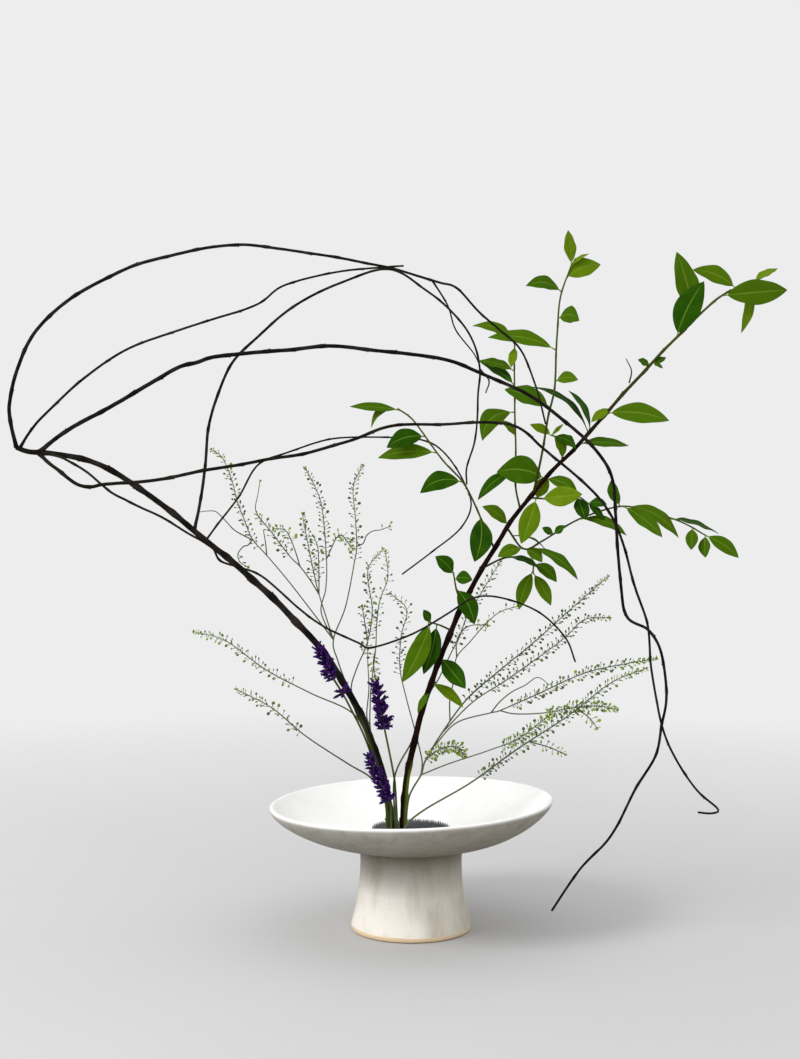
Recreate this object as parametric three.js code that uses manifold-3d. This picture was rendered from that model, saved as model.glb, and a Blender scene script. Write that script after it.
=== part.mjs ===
// An ikebana arrangement: a footed ceramic bowl holds a pin holder, and on its pins stand a bent
// vine with long trailing shoots, a leafy shrub branch, three lavender stalks and airy seed sprigs.
//
// Millimetres, +Z up. The origin is on the surface that the bowl's foot rests on, below the middle
// of the bowl. The arrangement faces -Y.

import * as THREE from "three";
import { mergeVertices } from "three/addons/utils/BufferGeometryUtils.js";
import Module from "manifold-3d";

const wasm = await Module();
wasm.setup();

// ---------------------------------------------------------------- driving dimensions

const GAP = 0.3; // clearance between pieces that touch

const RIM_RADIUS = 127.5;
const RIM_LEAN = 4; // how much higher the rim stands on its +X side than at its middle
const DISH_START = 64; // height above which the lean begins
const BOWL_FACETS = 36;

const DISH_FLOOR = 78;
const HOLDER_RADIUS = 37.5;
const HOLDER_TOP = 83; // top of the holder's base plate
const PIN_TOP = 92;
const PIN_RADIUS = 0.8;
const STRAIGHT_LENGTH = 5; // a stem stands upright for this long between the pins
const PIN_PITCH = 3;
const PIN_FIELD = 35; // radius of the field of pins

// The eye that the arrangement is composed for.
const EYE = new THREE.Vector3(-10, -1421, 379.5);

const LEAF_THICKNESS = 1;
const PETIOLE_RADIUS = 0.7;
const LEAF_STALK = 0.08; // length of a leaf's stalk, as a share of the whole leaf
const LEAF_FOLD = 0.18; // rise of a leaf's edge over its midrib, as a share of the half width

// ---------------------------------------------------------------- where everything grows
// Routes are composed on the upright plane through the bowl's axis, as the viewer sees them:
// [across, up, depth]. Each point is then moved along the viewer's line of sight to its depth,
// which is negative towards the viewer. A foot is [x, y], where a stem stands on the holder.

const VINE = {
  vine_cane: {
    foot: [-18, -22], radius: [3.3, 2.2], spacing: 24,
    routes: [[
      [-21, 115, -22], [-29, 150, -22], [-49, 199, -21], [-77, 246, -19], [-112, 285, -18],
      [-149, 320, -18], [-182, 347, -19], [-221, 379, -22], [-259, 406, -25], [-289, 421, -27],
      [-319, 427, -29], [-343, 429, -30], [-355, 433, -30],
    ]],
  },
  vine_outer_arch: {
    parent: "vine_cane", radius: [1.7, 0.8], spacing: 26,
    routes: [
      [
        [-355, 433, -30], [-360, 456, -33], [-361, 474, -36], [-354, 503, -40], [-337, 538, -46],
        [-305, 567, -52], [-254, 594, -58], [-199, 609, -60], [-157, 615, -58], [-124, 612, -54],
        [-75, 605, -44], [-23, 595, -34], [6, 587, -28], [26, 581, -24], [41, 576, -22],
        [60, 556, -20], [79, 539, -18], [99, 520, -20], [112, 488, -28], [121, 454, -36],
      ],
      [[19, 583, -25], [33, 560, -30], [40, 539, -34], [56, 518, -36], [62, 506, -32]],
    ],
  },
  vine_upper_arch: {
    parent: "vine_cane", radius: [1.2, 0.9], spacing: 28,
    routes: [[
      [-351, 434, -29], [-344, 445, -27], [-331, 461, -22], [-299, 491, -14], [-263, 517, -8],
      [-225, 533, -3],
      [-175, 549, 2], [-137, 562, 4], [-113, 579, 4], [-63, 591, 0], [-23, 595, -6], [-7, 596, -8],
    ]],
  },
  vine_rising_arch: {
    parent: "vine_cane", radius: [1.4, 0.8], spacing: 24,
    routes: [
      [
        [-195, 359, -20], [-189, 387, -13], [-185, 420, -4], [-182, 451, 4], [-174, 480, 12],
        [-160, 510, 18], [-137, 533, 22], [-105, 560, 22], [-63, 581, 18], [-20, 593, 12],
        [15, 573, 4], [42, 549, -4], [56, 527, -8], [62, 501, -10], [60, 479, -8], [58, 442, -4],
        [50, 416, 2], [50, 400, 4],
      ],
      [[62, 503, -10], [70, 493, -13], [67, 482, -17]],
    ],
  },
  vine_middle_arch: {
    parent: "vine_cane", radius: [1.9, 1], spacing: 26,
    routes: [[
      [-334, 429, -30], [-322, 439, -33], [-309, 448, -35], [-294, 457, -37], [-257, 477, -42],
      [-213, 503, -46], [-193, 509, -48], [-173, 515, -50], [-118, 520, -54], [-70, 524, -57],
      [-23, 519, -59], [27, 513, -60],
      [62, 500, -60], [106, 480, -60], [145, 451, -58], [169, 427, -55], [181, 405, -52],
      [184, 370, -49], [189, 307, -52], [195, 280, -55], [214, 268, -58], [226, 246, -57],
      [230, 209, -50], [226, 182, -47], [220, 155, -46], [202, 124, -45], [179, 81, -44],
      [151, 51, -42], [127, 15, -40],
    ]],
  },
  vine_lower_arch: {
    parent: "vine_cane", radius: [1.6, 0.9], spacing: 26,
    routes: [[
      [-334, 427, -29], [-326, 419, -33], [-317, 412, -37], [-307, 404, -40], [-298, 399, -42],
      [-287, 398, -43], [-276, 400, -45], [-236, 403, -49],
      [-187, 412, -50], [-136, 421, -50], [-95, 428, -49], [-55, 439, -48], [-19, 452, -47],
      [31, 454, -46], [88, 454, -46], [119, 432, -47], [150, 406, -50], [173, 383, -57],
      [187, 357, -61], [202, 307, -56], [213, 272, -47], [217, 230, -48], [226, 183, -57],
      [240, 150, -58], [258, 124, -56], [277, 107, -52], [271, 103, -50], [259, 104, -49],
    ]],
  },
  vine_trailing_shoot: {
    parent: "vine_cane", radius: [1.1, 0.8], spacing: 24,
    routes: [[
      [-324, 427, -29], [-312, 423, -36], [-293, 412, -38], [-279, 400, -37], [-269, 392, -35],
      [-257, 386, -33], [-243, 379, -31], [-224, 370, -28], [-201, 356, -24],
      [-180, 344, -14], [-172, 331, -7], [-154, 325, -6], [-134, 317, -9], [-102, 289, -14],
      [-77, 271, -22], [-47, 257, -34], [-36, 253, -38], [-1, 264, -43], [32, 283, -46],
      [58, 298, -48], [85, 297, -50], [116, 284, -54], [139, 262, -58], [148, 240, -60],
    ]],
  },
  vine_slender_shoot: {
    parent: "vine_cane", radius: [0.9, 0.7], spacing: 24,
    routes: [[
      [-185, 349, -19], [-174, 364, -10], [-155, 389, -2], [-138, 417, 4], [-113, 428, 8],
      [-69, 441, 12], [-18, 442, 14], [13, 439, 14], [31, 427, 13], [47, 403, 12], [54, 381, 10],
      [44, 360, 8], [20, 340, 6], [-8, 319, 4],
    ]],
  },
};

const SHRUB = {
  shrub_stem: {
    foot: [-7, -13], radius: [3, 0.8], spacing: 26,
    routes: [[
      [-6, 117, -14], [-1, 150, -15], [13, 206, -17], [35, 265, -18], [53, 304, -18],
      [82, 354, -19], [100, 380, -20], [127, 412, -19], [149, 434, -16], [180, 469, -8],
      [223, 516, 6], [262, 555, 24], [282, 571, 34], [316, 586, 64],
    ]],
  },
  shrub_left_shoot: {
    parent: "shrub_stem", radius: [0.9, 0.7], spacing: 24,
    routes: [[
      [75, 342, -19], [62, 371, -23], [48, 400, -26], [28, 422, -28], [3, 456, -30],
      [-12, 468, -33],
    ]],
  },
  shrub_middle_shoot: {
    parent: "shrub_stem", radius: [0.9, 0.7], spacing: 26,
    routes: [[[98, 378, -20], [94, 400, -14], [94, 440, -8], [93, 475, -4], [93, 526, 0]]],
  },
  shrub_top_shoot: {
    parent: "shrub_stem", radius: [1.1, 0.7], spacing: 24,
    routes: [[
      [110, 392, -20], [113, 404, -27], [117, 424, -29], [123, 459, -28], [129, 488, -22],
      [131, 533, -15], [134, 567, -12], [144, 597, -8],
    ]],
  },
  shrub_right_shoot: {
    parent: "shrub_stem", radius: [0.9, 0.7], spacing: 14,
    routes: [[[106, 388, -20], [120, 387, -24], [134, 386, -26], [149, 389, -28], [159, 383, -30]]],
  },
  shrub_star_shoot: {
    parent: "shrub_stem", radius: [0.8, 0.7], spacing: 12,
    routes: [[[136, 423, -18], [136, 433, -19], [131, 442, -20], [126, 444, -20]]],
  },
  shrub_arching_shoot: {
    parent: "shrub_stem", radius: [0.9, 0.7], spacing: 10,
    routes: [[
      [86, 361, -19], [101, 342, -26], [118, 349, -28], [152, 369, -30], [188, 380, -31],
      [215, 375, -31], [241, 367, -31], [265, 354, -33],
    ]],
  },
  shrub_hanging_shoot: {
    parent: "shrub_stem", radius: [0.9, 0.7], spacing: 14,
    routes: [[[65, 325, -18], [86, 334, -13], [108, 332, -8], [110, 320, -6]]],
  },
  shrub_low_shoot: {
    parent: "shrub_stem", radius: [0.9, 0.7], spacing: 14,
    routes: [[[46, 291, -18], [41, 305, -24], [38, 321, -28]]],
  },
  shrub_fan_shoot: {
    parent: "shrub_stem", radius: [0.9, 0.7], spacing: 12,
    routes: [[[37, 268, -18], [26, 273, -24], [16, 276, -30]]],
  },
};

const SPRIGS = {
  sprig_low_left: {
    foot: [-16, 4],
    routes: [[
      [-23, 124, 4], [-36, 162, 9], [-52, 193, 14], [-91, 212, 22], [-131, 233, 36],
      [-167, 259, 48], [-195, 267, 58],
    ]],
  },
  sprig_mid_left: {
    foot: [-19, -9],
    routes: [[
      [-22, 115, -9], [-36, 135, -13], [-57, 148, -24], [-95, 173, -42], [-125, 198, -56],
      [-157, 215, -68],
    ]],
  },
  sprig_tall_left: {
    foot: [-16, -5],
    routes: [
      [
        [-21, 116, -7], [-29, 150, -6], [-43, 187, -2], [-57, 217, 5], [-66, 241, 13], [-70, 260, 20],
        [-59, 290, 30], [-51, 330, 40], [-49, 344, 44], [-50, 368, 49], [-52, 398, 58],
        [-44, 416, 62],
      ],
      [
        [-70, 260, 20], [-81, 285, 30], [-77, 305, 34], [-76, 327, 46], [-78, 359, 56],
        [-81, 383, 64], [-87, 399, 70], [-95, 414, 76],
      ],
      [
        [-70, 260, 20], [-83, 301, 36], [-87, 318, 42], [-90, 332, 47], [-97, 368, 54],
        [-97, 373, 56],
      ],
      [
        [-83, 301, 36], [-91, 314, 35], [-100, 326, 34], [-109, 335, 33], [-125, 356, 31],
        [-134, 367, 30], [-140, 377, 29], [-138, 390, 27], [-136, 402, 26],
      ],
      [
        [-70, 260, 20], [-95, 293, 22], [-113, 316, 23], [-130, 336, 24], [-141, 348, 28],
        [-146, 357, 31], [-150, 368, 34], [-156, 383, 39], [-162, 406, 46], [-170, 424, 51],
        [-179, 431, 54],
      ],
      [
        [-49, 344, 44], [-43, 347, 41], [-40, 354, 38], [-34, 358, 36], [-27, 359, 34],
        [-20, 362, 32],
      ],
      [[-100, 326, 34], [-104, 339, 38], [-109, 352, 42], [-114, 359, 43], [-123, 360, 42]],
      [
        [-143, 350, 28], [-158, 358, 25], [-166, 366, 22], [-175, 375, 20], [-182, 376, 19],
        [-191, 375, 18],
      ],
      [
        [-76, 333, 48], [-71, 344, 50], [-67, 352, 52], [-62, 354, 53], [-58, 349, 54],
        [-53, 342, 55],
      ],
      [[-130, 336, 24], [-131, 347, 22], [-133, 359, 18]],
      [
        [-143, 350, 28], [-147, 345, 27], [-151, 344, 25], [-156, 337, 23], [-154, 330, 21],
        [-148, 326, 20],
      ],
      [[-83, 301, 36], [-83, 323, 46], [-84, 343, 54], [-88, 353, 58]],
    ],
  },
  sprig_middle: {
    foot: [-12, -4],
    routes: [
      [
        [-21, 124, -1], [-34, 162, 4], [-48, 195, 9], [-54, 215, 13], [-49, 234, 17],
        [-39, 259, 22], [-35, 287, 28], [-39, 322, 36], [-26, 341, 40],
      ],
      [
        [-34, 162, 4], [-37, 182, 8], [-37, 198, 10], [-36, 218, 12], [-32, 251, 12],
        [-31, 274, 12], [-28, 296, 10], [-21, 316, 8], [-23, 339, 6],
      ],
      [[-39, 259, 22], [-44, 289, 28]],
      [[-37, 182, 8], [-40, 192, 5], [-38, 216, 2], [-39, 240, 2], [-39, 262, 4]],
      [[-32, 251, 12], [-34, 239, 8], [-32, 226, 6]],
    ],
  },
  sprig_inner: {
    foot: [-13, -12],
    routes: [[
      [-15, 135, -11], [2, 171, -8], [15, 208, 0], [25, 225, 8], [37, 250, 12], [43, 261, 16],
      [50, 280, 20], [63, 302, 24], [74, 320, 28], [80, 330, 30],
    ]],
  },
  sprig_right: {
    foot: [-5, -23],
    routes: [
      [
        [-2, 117, -24], [9, 138, -26], [13, 151, -27], [28, 176, -26], [50, 206, -14],
        [77, 230, 4], [110, 257, 26], [141, 285, 46], [177, 317, 66],
      ],
      [
        [28, 176, -26], [56, 204, -22], [88, 225, -14], [135, 259, 0], [156, 278, 6],
        [178, 280, 12],
      ],
      [
        [21, 164, -27], [41, 185, -28], [72, 194, -26], [80, 196, -25], [112, 210, -20],
        [160, 231, -10], [220, 243, 4],
      ],
      [
        [80, 196, -25], [94, 193, -32], [121, 194, -42], [148, 199, -52], [170, 200, -58],
        [185, 197, -62],
      ],
      [[9, 138, -26], [34, 148, -36], [70, 160, -50], [97, 171, -60], [125, 192, -72]],
      [[13, 151, -27], [22, 159, -22], [33, 163, -17], [42, 163, -14], [48, 155, -12]],
      [
        [35, 187, -22], [35, 206, -16], [39, 226, -6], [41, 244, 2], [53, 258, 8], [67, 274, 14],
        [80, 285, 20], [95, 290, 26],
      ],
      [
        [9, 138, -26], [10, 149, -20], [8, 160, -10], [3, 180, 2], [-4, 206, 6], [-10, 234, 8],
        [-9, 263, 10], [-4, 287, 12], [-18, 301, 14],
      ],
      [
        [72, 194, -26], [80, 204, -29], [91, 213, -32], [103, 219, -35], [114, 226, -38],
        [125, 219, -42],
      ],
      [[41, 244, 2], [41, 258, 6], [46, 268, 10], [55, 273, 14], [68, 273, 18]],
    ],
  },
  sprig_low_right: {
    foot: [-7, -32],
    routes: [
      [
        [-4, 93, -34], [13, 107, -38], [54, 131, -48], [94, 160, -60], [141, 191, -74],
        [180, 221, -86], [211, 234, -94],
      ],
      [[106, 168, -64], [124, 163, -70], [138, 157, -74]],
      [[150, 198, -77], [161, 189, -82], [167, 181, -85]],
    ],
  },
};

// The flower spike of a lavender stalk covers the last part of its route.
const LAVENDER = {
  lavender_left: {
    foot: [-20, -16], spike: [[-62, 212, -33], [-72, 228, -35], [-84, 253, -35]],
    route: [
      [-23, 116, -17], [-37, 159, -20], [-44, 177, -22], [-53, 195, -27], [-62, 212, -33],
      [-72, 228, -35],
    ],
  },
  lavender_middle: {
    foot: [-12, -31], spike: [[-24, 180, -36], [-28, 202, -37], [-33, 221, -37]],
    route: [[-14, 122, -31], [-16, 140, -32], [-24, 180, -36], [-28, 202, -37]],
  },
  lavender_low: {
    foot: [-18, -34], spike: [[-20, 115, -39], [-29, 134, -41], [-38, 155, -42]],
    route: [[-18, 105, -37], [-20, 115, -39], [-29, 134, -41]],
  },
};

// [shoot, base, tip, width, roll in degrees, sideways bow]. A leaf with no roll faces the viewer.
const SINGLE_LEAVES = [
  ["shrub_top_shoot", [144, 597, -8], [141, 628, -6], 12, 20, 0],
  ["shrub_top_shoot", [131, 521, -16], [69, 533, -8], 16, 30, -5],
  ["shrub_top_shoot", [125, 469, -26], [84, 485, -12], 18, 20, -3],
  ["shrub_middle_shoot", [93, 525, 0], [55, 542, 6], 13, 35, -7],
  ["shrub_middle_shoot", [93, 465, -6], [64, 439, -16], 19, 20, -10],
  ["shrub_left_shoot", [12, 443, -29], [-22, 433, -34], 17, 15, -4],
  ["shrub_left_shoot", [23, 428, -28], [-30, 424, -22], 15, 25, -3],
  ["shrub_left_shoot", [47, 401, -26], [8, 392, -36], 17, 10, -7],
  ["shrub_left_shoot", [65, 373, -23], [57, 330, -40], 20, 0, 4],
  ["shrub_low_shoot", [41, 307, -23], [57, 274, -36], 17, 10, 3],
  ["shrub_fan_shoot", [18, 275, -29], [-8, 222, -46], 18, 10, 2],
  ["shrub_fan_shoot", [23, 273, -26], [11, 229, -38], 16, 15, 2],
  ["shrub_stem", [25, 246, -18], [49, 216, -34], 17, 15, 0],
  ["shrub_right_shoot", [117, 388, -24], [154, 391, -42], 18, 10, 0],
  ["shrub_arching_shoot", [152, 369, -30], [194, 354, -37], 12, 40, 5],
  ["shrub_arching_shoot", [190, 380, -31], [226, 352, -54], 14, 20, 3],
  ["shrub_arching_shoot", [193, 380, -31], [241, 352, -34], 15, 35, 7],
  ["shrub_arching_shoot", [265, 355, -33], [295, 334, -42], 13, 15, 2],
  ["shrub_arching_shoot", [109, 345, -27], [150, 314, -42], 13, 45, 5],
  ["shrub_hanging_shoot", [110, 328, -7], [131, 312, -18], 12, 15, 3],
  ["shrub_hanging_shoot", [110, 322, -6], [97, 287, -22], 13, 10, -2],
  ["shrub_hanging_shoot", [110, 321, -6], [126, 291, -16], 12, 10, 1],
  ["shrub_right_shoot", [112, 388, -22], [99, 347, -40], 18, 10, 1],
  ["shrub_stem", [121, 405, -19], [77, 411, -20], 26, 10, -5],
  ["shrub_stem", [152, 435, -15], [196, 435, -4], 13, 45, 2],
  ["shrub_stem", [176, 464, -9], [232, 457, -22], 19, 15, 4],
  ["shrub_stem", [256, 549, 20], [239, 609, 24], 22, 10, -1],
  ["shrub_stem", [238, 531, 12], [263, 582, -4], 24, 5, 3],
  ["shrub_stem", [291, 576, 42], [253, 593, 42], 18, 20, -4],
  ["shrub_stem", [279, 567, 34], [339, 575, 54], 24, 5, 0],
];

// The smaller leaves, each in one solid with the shoot that bears it.
const SMALL_LEAVES = [
  ["shrub_top_shoot", [140, 584, -9], [170, 597, -2], 19, 15, 4],
  ["shrub_top_shoot", [135, 572, -12], [103, 578, -20], 15, 30, -6],
  ["shrub_top_shoot", [133, 549, -14], [151, 547, -22], 16, 10, 5],
  ["shrub_top_shoot", [130, 492, -22], [150, 494, -28], 12, 25, 3],
  ["shrub_middle_shoot", [93, 503, -2], [61, 511, 4], 13, 45, -2],
  ["shrub_middle_shoot", [93, 488, -3], [61, 511, 14], 12, 35, -3],
  ["shrub_middle_shoot", [93, 413, -12], [60, 386, -18], 11, 20, -4],
  ["shrub_left_shoot", [-10, 466, -33], [-55, 470, -44], 10, 35, -1],
  ["shrub_left_shoot", [-10, 466, -33], [-36, 451, -38], 9, 45, -8],
  ["shrub_low_shoot", [39, 318, -27], [22, 335, -36], 14, 15, -2],
  ["shrub_low_shoot", [39, 315, -26], [55, 314, -34], 12, 10, 2],
  ["shrub_fan_shoot", [16, 276, -30], [-4, 237, -14], 14, 20, 3],
  ["shrub_stem", [18, 222, -17], [47, 199, -28], 11, 35, 2],
  ["shrub_stem", [122, 405, -19], [150, 391, -32], 13, 25, 4],
  ["shrub_right_shoot", [149, 388, -28], [157, 368, -40], 14, 15, 0],
  ["shrub_right_shoot", [159, 383, -30], [176, 382, -38], 10, 30, 1],
  ["shrub_arching_shoot", [189, 380, -31], [181, 405, -26], 12, 25, 3],
  ["shrub_arching_shoot", [253, 362, -32], [252, 341, -42], 11, 10, 0],
  ["shrub_arching_shoot", [100, 343, -26], [78, 335, -31], 12, 25, -2],
  ["shrub_arching_shoot", [102, 342, -26], [118, 330, -34], 12, 30, 2],
  ["shrub_stem", [87, 362, -19], [64, 380, -30], 13, 30, -3],
  ["shrub_star_shoot", [126, 444, -20], [107, 454, -14], 10, 30, -1],
  ["shrub_star_shoot", [128, 443, -20], [148, 432, -28], 12, 35, 3],
  ["shrub_stem", [157, 447, -13], [108, 489, -14], 13, 60, -9],
];

// ---------------------------------------------------------------- curves and solids

function place([across, up, depth]) {
  const reach = 1 + depth / -EYE.y;
  return new THREE.Vector3(
    EYE.x + (across - EYE.x) * reach,
    depth,
    EYE.z + (up - EYE.z) * reach,
  );
}

function curveThrough(points) {
  return new THREE.CatmullRomCurve3(points, false, "catmullrom");
}

function growingCurve(route, foot) {
  const points = route.map(place);
  if (foot) {
    const start = new THREE.Vector3(foot[0], foot[1], HOLDER_TOP + GAP);
    points.unshift(start, start.clone().setZ(start.z + STRAIGHT_LENGTH));
  }
  return curveThrough(points);
}

// Only the positions matter to a solid, and each corner is stored once.
function weld(geometry) {
  geometry.deleteAttribute("normal");
  geometry.deleteAttribute("uv");
  return mergeVertices(geometry, 1e-4);
}

function solidOf(geometry) {
  return new wasm.Manifold(new wasm.Mesh({
    numProp: 3,
    vertProperties: new Float32Array(geometry.attributes.position.array),
    triVerts: new Uint32Array(geometry.index.array),
  }));
}

function geometryOf(solid) {
  const { vertProperties, triVerts } = solid.getMesh();
  const geometry = new THREE.BufferGeometry();
  geometry.setAttribute("position", new THREE.BufferAttribute(new Float32Array(vertProperties), 3));
  geometry.setIndex(new THREE.BufferAttribute(new Uint32Array(triVerts), 1));
  geometry.computeVertexNormals();
  return geometry;
}

function joined(solids) {
  return solids.reduce((whole, solid) => whole.add(solid));
}

// A round bar along a curve: a straight prism is extruded in layers, and each layer is then moved
// to its place on the curve and scaled to radiusAt(0 to 1).
function sweep(curve, radiusAt, sides, steps) {
  const section = new THREE.Shape(new THREE.Path().absarc(0, 0, 1, 0, 2 * Math.PI).getSpacedPoints(sides));
  const prism = new THREE.ExtrudeGeometry(section, { depth: 1, steps, bevelEnabled: false });
  const frames = curve.computeFrenetFrames(steps);
  const layers = Array.from({ length: steps + 1 }, (_, layer) => curve.getPointAt(layer / steps));
  const corners = prism.attributes.position;
  for (let i = 0; i < corners.count; i++) {
    const along = corners.getZ(i);
    const layer = Math.round(along * steps);
    const radius = radiusAt(along);
    const corner = layers[layer].clone()
      .addScaledVector(frames.normals[layer], radius * corners.getX(i))
      .addScaledVector(frames.binormals[layer], radius * corners.getY(i));
    corners.setXYZ(i, corner.x, corner.y, corner.z);
  }
  return solidOf(weld(prism));
}

function stepsAlong(curve, spacing) {
  return Math.max(2, Math.round(curve.getLength() / spacing));
}

// A stem that narrows evenly from one radius to the other.
function stem(curve, [start, end], spacing, sides) {
  const radiusAt = (along) => THREE.MathUtils.lerp(start, end, along);
  return sweep(curve, radiusAt, sides, stepsAlong(curve, spacing));
}

// The space that a stem takes up with its clearance, a little past both of its ends.
function roomFor(curve, [start, end], spacing, sides) {
  const room = stem(curve, [start + GAP, end + GAP], spacing, sides);
  const cap = (share, radius) => {
    const tip = curve.getPointAt(share);
    const outwards = curve.getTangentAt(share).multiplyScalar(share ? 1 : -1);
    const inner = tip.clone().addScaledVector(outwards, -radius);
    const outer = tip.clone().addScaledVector(outwards, 2 * GAP);
    return sweep(new THREE.LineCurve3(inner, outer), () => radius + GAP, sides, 1);
  };
  return joined([room, cap(0, start), cap(1, end)]);
}

// ---------------------------------------------------------------- the bowl and its holder

// One fired piece: the dish, its rolled rim and the flared foot, which is hollow from below.
function footedBowl() {
  const outline = [
    [0, DISH_FLOOR], [42, DISH_FLOOR], [60, 81], [76, 85.5], [92, 91], [106, 99], [117, 107.5],
    [123, 113.5], [125, 115], [127, 114.3], [RIM_RADIUS, 112], [125, 107.5], [118, 100.5], [107, 93],
    [92, 85.4], [76, 80], [62, 77], [51, 75.6], [46.3, 75], [45.6, 60], [46.3, 45], [48.2, 32],
    [51, 17], [53.6, 6], [54.2, 3], [53.2, 0], [46.5, 0], [44, 5], [38, 60], [33, 67], [0, 67],
  ].map(([radius, height]) => new THREE.Vector2(radius, height));
  const lathe = weld(new THREE.LatheGeometry(outline.reverse(), BOWL_FACETS));
  lathe.rotateX(Math.PI / 2);
  const corners = lathe.attributes.position;
  for (let i = 0; i < corners.count; i++) {
    const outwards = Math.hypot(corners.getX(i), corners.getY(i)) / RIM_RADIUS;
    const lean = corners.getZ(i) > DISH_START ? RIM_LEAN * outwards ** 3 : 0;
    corners.setZ(i, corners.getZ(i) + (lean * corners.getX(i)) / RIM_RADIUS);
  }
  return solidOf(lathe);
}

function lathed(outline, facets) {
  const points = outline.map(([radius, height]) => new THREE.Vector2(radius, height));
  const lathe = weld(new THREE.LatheGeometry(points, facets));
  return lathe.rotateX(Math.PI / 2);
}

// A heavy plate with rows of sharp pins. A stem is pushed down over the pins below it, so none
// are left standing there.
function pinHolder(plantedStems) {
  const plate = lathed([
    [0, DISH_FLOOR + GAP], [HOLDER_RADIUS - 1, DISH_FLOOR + GAP], [HOLDER_RADIUS, DISH_FLOOR + 1.5],
    [HOLDER_RADIUS, HOLDER_TOP - 1], [HOLDER_RADIUS - 1, HOLDER_TOP], [0, HOLDER_TOP],
  ], 40);
  const pin = lathed([[0, HOLDER_TOP - 1], [PIN_RADIUS, HOLDER_TOP - 1], [0, PIN_TOP]], 4);
  const isFree = (x, y) => plantedStems.every(({ axis, radius }) => (
    axis.every((point) => Math.hypot(point.x - x, point.y - y) > radius + PIN_RADIUS + GAP)
  ));
  const rowHeight = PIN_PITCH * Math.sin(Math.PI / 3);
  const reach = Math.ceil(PIN_FIELD / rowHeight);
  const pins = [];
  for (let row = -reach; row <= reach; row++) {
    for (let column = -reach; column <= reach; column++) {
      const x = (column + (row % 2 ? 0.5 : 0)) * PIN_PITCH;
      const y = row * rowHeight;
      if (Math.hypot(x, y) < PIN_FIELD && isFree(x, y)) {
        pins.push(solidOf(pin).translate([x, y, 0]));
      }
    }
  }
  return joined([solidOf(plate), ...pins]);
}

// ---------------------------------------------------------------- leaves and flowers

// The point nearest to the target on the straight stretches of a stem's axis.
function nearestOn(axis, target) {
  const stretches = axis.slice(1).map((point, i) => new THREE.Line3(axis[i], point));
  const points = stretches.map((line) => line.closestPointToPoint(target, true, new THREE.Vector3()));
  return points.reduce((best, point) => (
    point.distanceTo(target) < best.distanceTo(target) ? point : best
  ));
}

// A leaf blade on a short stalk that grows from the middle of its shoot: four-cornered sections
// along the midrib, folded up at the edges.
function leaf([, base, tip, width, roll, bow], axis) {
  const from = nearestOn(axis, place(base));
  const to = place(tip);
  const along = to.clone().sub(from).normalize();
  const facing = new THREE.Vector3(0, -1, 0).projectOnPlane(along).normalize();
  const upwards = along.clone().cross(facing);
  if (upwards.z < 0) {
    upwards.negate();
  }
  const turn = THREE.MathUtils.degToRad(roll);
  const normal = facing.multiplyScalar(Math.cos(turn)).addScaledVector(upwards, Math.sin(turn));
  const across = normal.clone().cross(along);
  const sideways = new THREE.Vector3(-along.z, 0, along.x);
  const middle = from.clone().lerp(to, 0.5).addScaledVector(sideways, 2 * bow);
  const midrib = new THREE.QuadraticBezierCurve3(from, middle, to);

  const layers = [0, LEAF_STALK, 0.24, 0.42, 0.6, 0.8, 1];
  const steps = layers.length - 1;
  const halfWidthAt = (share) => {
    if (share <= LEAF_STALK) {
      return PETIOLE_RADIUS;
    }
    const s = (share - LEAF_STALK) / (1 - LEAF_STALK);
    return Math.max((width / 2) * Math.sin(Math.PI * s ** 0.9) ** 0.85, PETIOLE_RADIUS / 2);
  };
  const diamond = [[1, 0], [0, 1], [-1, 0], [0, -1]];
  const section = new THREE.Shape(diamond.map(([x, y]) => new THREE.Vector2(x, y)));
  const blade = new THREE.ExtrudeGeometry(section, { depth: 1, steps, bevelEnabled: false });
  const corners = blade.attributes.position;
  for (let i = 0; i < corners.count; i++) {
    const share = layers[Math.round(corners.getZ(i) * steps)];
    const halfWidth = halfWidthAt(share);
    const lift = Math.abs(corners.getX(i)) * LEAF_FOLD * (halfWidth - PETIOLE_RADIUS / 2);
    const corner = midrib.getPoint(share)
      .addScaledVector(across, halfWidth * corners.getX(i))
      .addScaledVector(normal, (LEAF_THICKNESS / 2) * corners.getY(i) + lift);
    corners.setXYZ(i, corner.x, corner.y, corner.z);
  }
  return solidOf(weld(blade));
}

// A stalk that ends in a spike of whorls, the lowest one set a little apart.
function lavenderStalk({ foot, route, spike }) {
  const stalk = stem(growingCurve(route, foot), [1, 0.9], 24, 6);
  const whorls = 5;
  const spikeRadius = (along) => {
    const taper = 1 - 0.45 * along ** 3;
    const swell = 0.55 + 0.45 * Math.sin(Math.PI * ((along * whorls) % 1)) ** 2;
    return Math.max(8 * taper * swell * Math.min(1, (1.04 - along) * 6), 1.5);
  };
  const flowers = sweep(curveThrough(spike.map(place)), spikeRadius, 8, 2 * whorls);
  return stalk.add(flowers);
}

// ---------------------------------------------------------------- the arrangement

const arrangement = new THREE.Group();
arrangement.name = "ikebana_arrangement";

function addPiece(name, solid, material) {
  const mesh = new THREE.Mesh(geometryOf(solid), material);
  mesh.name = name;
  arrangement.add(mesh);
}

function finish(color, roughness, metalness = 0) {
  return new THREE.MeshStandardMaterial({ color, roughness, metalness });
}

const glaze = finish(0xe9e6e0, 0.35);
const metal = finish(0x6d675c, 0.45, 1);
const vineBark = finish(0x2b211b, 0.7);
const shrubBark = finish(0x3c1d1a, 0.55);
const leafGreen = finish(0x3f7a1c, 0.45);
const lavenderViolet = finish(0x3d1a80, 0.8);
const sprigGreen = finish(0x7d8c5c, 0.7);

const planted = [];

function plant(curve, foot, radius) {
  if (foot) {
    const axis = curve.getSpacedPoints(200).filter((point) => point.z < PIN_TOP + 1);
    planted.push({ axis, radius });
  }
}

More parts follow.
